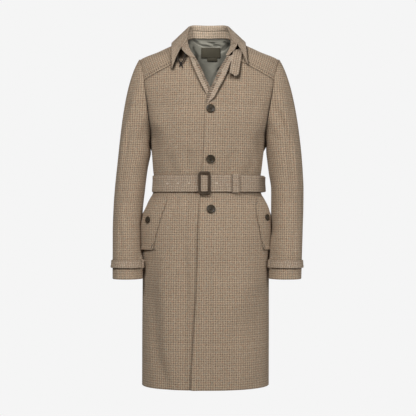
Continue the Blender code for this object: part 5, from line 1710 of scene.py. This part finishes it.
def makeBelt():
    across = np.linspace(-1, 1, belt["rows"])[:, None]
    height = levels["belt"] + belt["width"] / 2 * across
    (sway, swayTurns), (wave, waves) = belt["sway"], belt["wave"]
    roll = belt["edgeRoll"] * across ** belt["edgePower"] + sway * np.sin(swayTurns * across)
    turn = np.linspace(0, 2 * math.pi, belt["columns"] + 1)[None, :-1]
    lift = beltLift(turn)
    outer = skinAt(turn, height, lift + cloth["belt"] - roll + np.abs(wave * np.sin(waves * turn) * across))
    clothPiece("belt", outer, skinAt(turn, height, lift), gridUv(outer, closed=True), [tweedBias],
               belt["sheet"], "stretched", "front_left_cloth", "front_right_cloth", closed=True,
               shade=beltShade(outer[..., 0]))
    sewEdges("belt", outer, bodyOut(turn, height), belt["stitch"], closed=True)

    turn = np.linspace(belt["tailFrom"], belt["tailTo"], belt["tailColumns"])[None, :]
    lift = beltLift(turn) + cloth["belt"] + cloth["rest"]
    height = height - belt["droop"] * below(turn, math.pi / 2, math.pi)
    outer, inner = skinAt(turn, height, lift + cloth["strap"] - roll), skinAt(turn, height, lift)
    x = bodyPoints(turn, height)[..., 0]
    # painted shadow on the tail along both edges of the keeper
    fromKeeper = np.minimum(np.abs(x - keeper["from"] + keeper["shadeGap"]),
                            np.abs(x - keeper["to"] - keeper["shadeGap"]))
    shade = np.maximum(beltShade(outer[..., 0]), paintedShadeAt(fromKeeper, *keeper["shade"]))
    clothPiece("belt_tail", outer, inner, gridUv(outer), [tweedBias], belt["tailSheet"], "laid", "belt_cloth",
               shade=shade)
    sewEdges("belt_tail", outer[:, 2:-2], bodyOut(turn, height)[:, 2:-2], belt["stitch"])


# the keeper wraps round belt and tail, its check turned a quarter
def makeKeeper():
    turn = turnAt(np.linspace(keeper["from"], keeper["to"], keeper["columns"])[None, :], levels["belt"])
    bulge = keeper["bulge"] * np.sin(math.pi * np.linspace(0, 1, keeper["columns"]))
    inward, raised, cut = keeper["bend"].T
    across = np.linspace(-1, 1, keeper["rows"])[2:-2]
    share = np.concatenate([raised, 1 + 0 * across, raised[::-1]])[:, None]
    less = keeper["corner"] * np.concatenate([cut, 0 * across, cut[::-1]])[:, None]
    grids = []
    for thick in (cloth["facing"], 0.0):
        half = belt["width"] / 2 + keeper["play"] + thick
        bend = half - keeper["corner"] * inward
        over = beltLift(turn) + cloth["belt"] + cloth["strap"] + 3 * cloth["rest"] + thick + bulge
        lift = keeper["depth"] + (over - keeper["depth"]) * share - less
        grid = skinAt(turn + 0 * lift, levels["belt"], lift)
        grid[..., 2] = levels["belt"] + np.concatenate([-bend, half * across, bend[::-1]])[:, None]
        grids.append(grid)
    clothPiece("belt_keeper", *grids, gridUv(grids[0])[..., ::-1], [tweedBias], keeper["sheet"], "folded",
               "belt_tail_cloth")


# sewn eyelets: a ring of pale stitches round a small dark disc, painted shade standing in for the hole
eyelets = {"x": (-0.1236, -0.093, -0.0594), "tailX": 0.0216, "tall": 0.0016, "long": 0.0028, "stitches": 14,
           "stitchLift": 0.0004, "stitchLength": 0.0022, "stitchRadius": 0.0006, "holeShare": 0.45,
           "holeLift": 0.0003, "holeDepth": 0.0004, "holeDome": 0.0001}


# level and upright directions on a face
def faceAxes(out):
    level = unit(np.cross(np.array([0, 0, 1.0]), out))
    return level, np.cross(out, level)


def makeEyelets():
    count = eyelets["stitches"]
    angle = 2 * math.pi * np.arange(count)[:, None] / count
    for number, x in enumerate((*eyelets["x"], eyelets["tailX"]), 1):
        turn = turnAt(x, levels["belt"])
        lift = beltLift(turn) + cloth["belt"] + (x == eyelets["tailX"]) * (cloth["rest"] + cloth["strap"])
        centre, out = skinAt(turn, levels["belt"], lift), bodyOut(turn, levels["belt"])
        level, up = faceAxes(out)
        ring = level * eyelets["long"] * np.cos(angle) + up * eyelets["tall"] * np.sin(angle)
        stitchRun(f"belt_eyelet_{number}", centre + ring + out * eyelets["stitchLift"],
                  level * np.cos(angle) + up * np.sin(angle), np.tile(out, (count, 1)),
                  eyelets["stitchLength"], eyelets["stitchRadius"], brightThread)
        rim = centre + out * eyelets["holeLift"] + ring * eyelets["holeShare"]
        dome = out * eyelets["holeDome"]
        points = np.vstack([rim, rim - out * eyelets["holeDepth"], centre + dome, centre - dome])
        dress(makePiece(f"belt_eyelet_{number}_hole_shade", points, tubeFaces(2, count), [darkThread]), "tweed")


# leather covered frame buckle, without a prong
buckle = {"x": -0.0145, "width": 0.0375, "height": 0.071, "bar": 0.0076, "depth": 0.0048, "corner": 0.006,
          "roundness": 0.7, "steps": 24, "cornerSteps": 10, "straight": 18}


# the frame's middle line, with the way out from it: a quarter turn at each corner, then a straight
def bucklePath():
    corner, corners, path = buckle["corner"], ((1, 1), (-1, 1), (-1, -1), (1, -1)), []
    reachX, reachZ = (buckle[size] / 2 - buckle["bar"] / 2 - corner for size in ("width", "height"))
    for quarter, (signX, signZ) in enumerate(corners):
        for step in np.linspace(0, 1, buckle["cornerSteps"]):
            angle = math.pi / 2 * (quarter + step)
            outX, outZ = math.cos(angle), math.sin(angle)
            path.append((signX * reachX + corner * outX, signZ * reachZ + corner * outZ, outX, outZ))
        nextX, nextZ = corners[(quarter + 1) % 4]
        start = np.array(path[-1])
        end = np.array((nextX * reachX + corner * outX, nextZ * reachZ + corner * outZ, outX, outZ))
        path += [start + step * (end - start) for step in np.linspace(0, 1, buckle["straight"])[1:-1]]
    return np.array(path).T


def makeBuckle():
    turn = turnAt(buckle["x"], levels["belt"])
    lift = beltLift(turn) + cloth["belt"] + cloth["strap"] + 3 * cloth["rest"] + buckle["depth"] / 2
    x, z, outX, outZ = bucklePath()
    angle = 2 * math.pi * (np.arange(buckle["steps"])[:, None] + 0.5) / buckle["steps"]
    out = buckle["bar"] / 2 * rounded(np.cos(angle), buckle["roundness"])
    deep = buckle["depth"] / 2 * rounded(np.sin(angle), buckle["roundness"])
    grid = skinAt(turn, levels["belt"], lift) + np.stack([x + out * outX, deep + 0 * x, z + out * outZ], -1)
    index = np.arange(grid.shape[0] * grid.shape[1]).reshape(grid.shape[:2])
    index = np.pad(index, (0, 1), "wrap")
    dress(makePiece("buckle_leather", grid.reshape(-1, 3), gridQuads(index), [leather]), "leather", "buckle")


makeBelt()
makeKeeper()
makeEyelets()
makeBuckle()
print("belt and buckle made")


pocket = {"left": math.radians(13), "right": math.radians(167), "low": -0.65, "high": -0.49, "rows": 60,
          "columns": 36, "bow": 0.0012, "lowLift": 0.003, "lowFade": 0.014,
          "stitch": (0.005, 0.0024, 0.00036), "tack": (0.0014, 0.0042, 0.0006),
          "leftSheet": (0.0692, 0.17, 0.0097), "rightSheet": (0.09, 0.17, 0.0136)}


def pocketLift(word, turn, height):
    front = turnAt(sizeAt(pocketLines, word, height), height)
    spread = (turn - front) / (pocket[word] - front)
    return cloth["rest"] + sizeAt(pocketLines, word + "Flare", height) * spread ** 2


def makePocket(word):
    share = np.linspace(0, 1, pocket["rows"])[:, None]
    height = pocket["low"] + share * (pocket["high"] - pocket["low"])
    spread = np.linspace(0, 1, pocket["columns"])[None, :]
    front = turnAt(sizeAt(pocketLines, word, height), height)
    turn = front + spread * (pocket[word] - front)
    height = height + 0 * turn
    lift = pocketLift(word, turn, height) + pocket["bow"] * np.sin(math.pi * spread) * np.sin(math.pi * share)
    lift = lift + pocket["lowLift"] * below(height, pocket["low"] + pocket["lowFade"], pocket["lowFade"])
    outer, inner = skinPair(turn, height, lift + cloth["strap"], cloth["strap"])
    clothPiece(f"pocket_{word}", outer, inner, bodyUv(turn, height, math.pi / 2), [tweed],
               pocket[word + "Sheet"], "laid", f"front_{word}_cloth")
    out = bodyOut(turn, height)
    sewLine(f"pocket_{word}_stitches", outer[1:-1, 2], out[1:-1, 2], pocket["stitch"], darkThread)
    for column, end in ((2, "a"), (-4, "b")):   # bar tacks across the lower corners
        sewLine(f"pocket_{word}_tack_{end}", outer[1:7, column], out[1:7, column], pocket["tack"], darkThread,
                tack=True)


for word in sideNames.values():
    makePocket(word)
print("pockets made")


# horn buttons, four holes, a raised rim and a dished face
buttons = {"front": 0.026, "pocket": 0.0215, "sides": 56, "face": 0.0042,
           "faceRings": np.linspace(0.55, 0.02, 24), "holeSpread": 0.0031, "holeRadius": 0.00125,
           "holeSoft": 0.0005, "holeDepth": 0.0021, "spin": 0.35, "thread": 0.00065, "threadPoints": 14,
           "threadSides": 8, "threadLift": 0.004, "threadBow": 0.0007, "threadDip": 0.0012,
           "places": [("button_front_1", 0.004, -0.227), ("button_front_2", 0.004, -0.376),
                      ("button_front_3", 0.005, -0.528), ("button_pocket_left", 0.1705, -0.554),
                      ("button_pocket_right", -0.181, -0.561)]}
# from the middle of the underside round the rim to the face: share of the radius, level
buttonProfile = [(0.22, 0.0), (0.25, 0.0012), (0.3, 0.0014), (0.8, 0.0014), (0.92, 0.0018), (0.985, 0.0027),
                 (1.0, 0.0036), (0.985, 0.0044), (0.93, 0.0051), (0.86, 0.0053), (0.78, 0.0052),
                 (0.7, 0.0047), (0.64, 0.0043), (0.58, 0.0042)]


def makeButton(name, x, z, spin):
    kind, turn = name.split("_")[1], turnAt(x, z)
    radius, size = buttons[kind] / 2, buttons[kind] / buttons["front"]
    if kind == "pocket":
        lift = pocketLift(name.split("_")[2], turn, z) + cloth["strap"] + cloth["rest"]
    else:
        lift = overlapLift(turn, z) + cloth["rest"]
    seat, out = skinAt(turn, z, lift), bodyOut(turn, z)
    level, up = faceAxes(out)

    def placed(across, along, high):
        return seat + across[..., None] * level + along[..., None] * up + high[..., None] * out

    rings = np.array(buttonProfile + [(share, buttons["face"]) for share in buttons["faceRings"]])
    angle = 2 * math.pi * np.arange(buttons["sides"]) / buttons["sides"]
    across, along = (rings[:, :1] * radius * wave(angle) for wave in (np.cos, np.sin))
    quarters = spin + math.pi / 4 + math.pi / 2 * np.arange(4)
    holes = buttons["holeSpread"] * size * np.stack([np.cos(quarters), np.sin(quarters)], -1)
    sunk = 0 * across
    for holeX, holeY in holes:
        within = buttons["holeRadius"] * size - np.hypot(across - holeX, along - holeY)
        sunk = np.maximum(sunk, smoothStep(within / buttons["holeSoft"] + 0.5))
    sunk[:len(buttonProfile)] = 0
    grid = placed(across, along, rings[:, 1:] - buttons["holeDepth"] * sunk)
    points = np.vstack([grid.reshape(-1, 3), seat, seat + buttons["face"] * out])
    dress(makePiece(f"{name}_horn", points, tubeFaces(len(rings), buttons["sides"]), [horn]), "horn", name)
    t = np.linspace(0, 1, buttons["threadPoints"])
    for number in (1, 2):   # crossed sewing thread
        one, other = holes[number - 1], holes[number + 1]
        bow = buttons["threadLift"] + buttons["threadBow"] * number * np.sin(math.pi * t) \
            - buttons["threadDip"] * np.abs(2 * t - 1) ** 6
        line = placed(*(one + t[:, None] * (other - one)).T, bow)
        thread = roundTube(f"{name}_thread_{number}", line, buttons["thread"] * size, [darkThread],
                           buttons["threadSides"])
        dress(thread, "horn")


for number, place in enumerate(buttons["places"]):
    makeButton(*place, buttons["spin"] * number)

# worked buttonholes beside the front buttons, in the lapping front; the dark thread down each middle is
# painted shade for the slit
buttonhole = {"from": -0.001, "to": 0.0245, "points": 30, "gap": 0.0011, "lift": 0.0001, "half": 0.0011,
              "stitch": (0.0022, 0.00052), "slit": (0.0024, 0.0004)}


def makeButtonhole(number, x, z):
    turn = turnAt(x + np.linspace(buttonhole["from"], buttonhole["to"], buttonhole["points"]), z)
    line, out = skinAt(turn, z, overlapLift(turn, z) + buttonhole["lift"]), bodyOut(turn, z)
    places, along, up = spacedAlong(line, out, buttonhole["gap"])
    across = np.cross(along, up)
    both = np.vstack([places + across * buttonhole["half"], places - across * buttonhole["half"]])
    stitchRun(f"buttonhole_{number}", both, np.vstack([across, across]), np.vstack([up, up]),
              *buttonhole["stitch"], paleThread)
    stitchRun(f"buttonhole_{number}_slit_shade", places, along, up, *buttonhole["slit"], darkThread)


for number, (name, x, z) in enumerate(buttons["places"][:3], 1):
    makeButtonhole(number, x, z)
print("buttons made")


# pale floor and even backdrop, camera level with the coat's middle, soft light from the upper left
stage = {"floor": -1.45, "half": 30.0, "tone": (0.45, 0.45, 0.45), "grain": (3.0, 2.0),
         "grainTone": (0.01, 0.995), "seen": 0.913, "sky": 0.1, "white": (1.0, 1.0, 1.0, 1)}
camera = {"distance": 3.65, "x": -0.004, "height": -0.524, "perPixel": 0.0031, "frame": 416, "sensor": 36.0}
lights = [("key", (-1.0, -2.55, 1.45), 0.8, 67.0), ("fill", (2.3, -3.0, 0.3), 1.6, 59.0),
          ("top", (0.0, 0.4, 2.4), 1.4, 2.0), ("rear", (0.3, 3.4, 0.7), 1.6, 95.0)]
lightsMeet = Vector((0, 0, -0.5))


# the camera sees an even tone, and everything else the first shader
def evenForCamera(tree, shader, evenKind, surface):
    even, path, join = (tree.nodes.new(f"ShaderNode{kind}") for kind in (evenKind, "LightPath", "MixShader"))
    feed(even.inputs["Color"], stage["white"])
    feed(even.inputs["Strength"], stage["seen"])
    for number, output in enumerate((path.outputs["Is Camera Ray"], shader.outputs[0], even.outputs[0])):
        tree.links.new(output, join.inputs[number])
    tree.links.new(join.outputs[0], surface)


def makeStage():
    half, floor = stage["half"], stage["floor"]
    mesh = bpy.data.meshes.new("studio_floor")
    corners = [(-half, -half, floor), (half, -half, floor), (half, half, floor), (-half, half, floor)]
    mesh.from_pydata(corners, [], [[0, 1, 2, 3]])
    material, tree, shader = newMaterial("studioPaper")
    grain = noiseAt(tree.nodes.new("ShaderNodeTexCoord").outputs["Object"], *stage["grain"])
    tone = calc("MULTIPLY_ADD", grain, *stage["grainTone"])
    tree.links.new(scaleColour(stage["tone"], tone), shader["Base Color"])
    shader["Roughness"].default_value = 1.0
    shader["Specular IOR Level"].default_value = 0.0
    surface = tree.nodes["Material Output"].inputs["Surface"]
    evenForCamera(tree, tree.nodes["Principled BSDF"], "Emission", surface)
    mesh.materials.append(material)
    ground = bpy.data.objects.new("studio_floor", mesh)
    bpy.context.collection.objects.link(ground)


def makeLights():
    for name, place, size, power in lights:
        lamp = bpy.data.lights.new(name, "AREA")
        lamp.shape, lamp.size, lamp.energy = "SQUARE", size, power
        shine = bpy.data.objects.new(name, lamp)
        shine.location = place
        shine.rotation_euler = (lightsMeet - Vector(place)).to_track_quat("-Z", "Y").to_euler()
        bpy.context.collection.objects.link(shine)
    world = bpy.data.worlds.new("studio")
    world.use_nodes = True
    tree = world.node_tree
    soft = tree.nodes["Background"]
    feed(soft.inputs["Color"], stage["white"])
    feed(soft.inputs["Strength"], stage["sky"])
    evenForCamera(tree, soft, "Background", tree.nodes["World Output"].inputs["Surface"])
    bpy.context.scene.world = world
    bpy.context.scene.view_settings.view_transform = "Standard"


def makeCamera():
    view = bpy.data.cameras.new("photo_view")
    width = camera["perPixel"] * camera["frame"]
    view.lens = camera["sensor"] * camera["distance"] / width
    view.sensor_width = camera["sensor"]
    placed = bpy.data.objects.new("photo_view", view)
    placed.location = (camera["x"], -camera["distance"], camera["height"])
    placed.rotation_euler = (math.pi / 2, 0, 0)
    bpy.context.collection.objects.link(placed)
    bpy.context.scene.camera = placed


makeStage()
makeLights()
makeCamera()
print("stage, lights and camera ready")
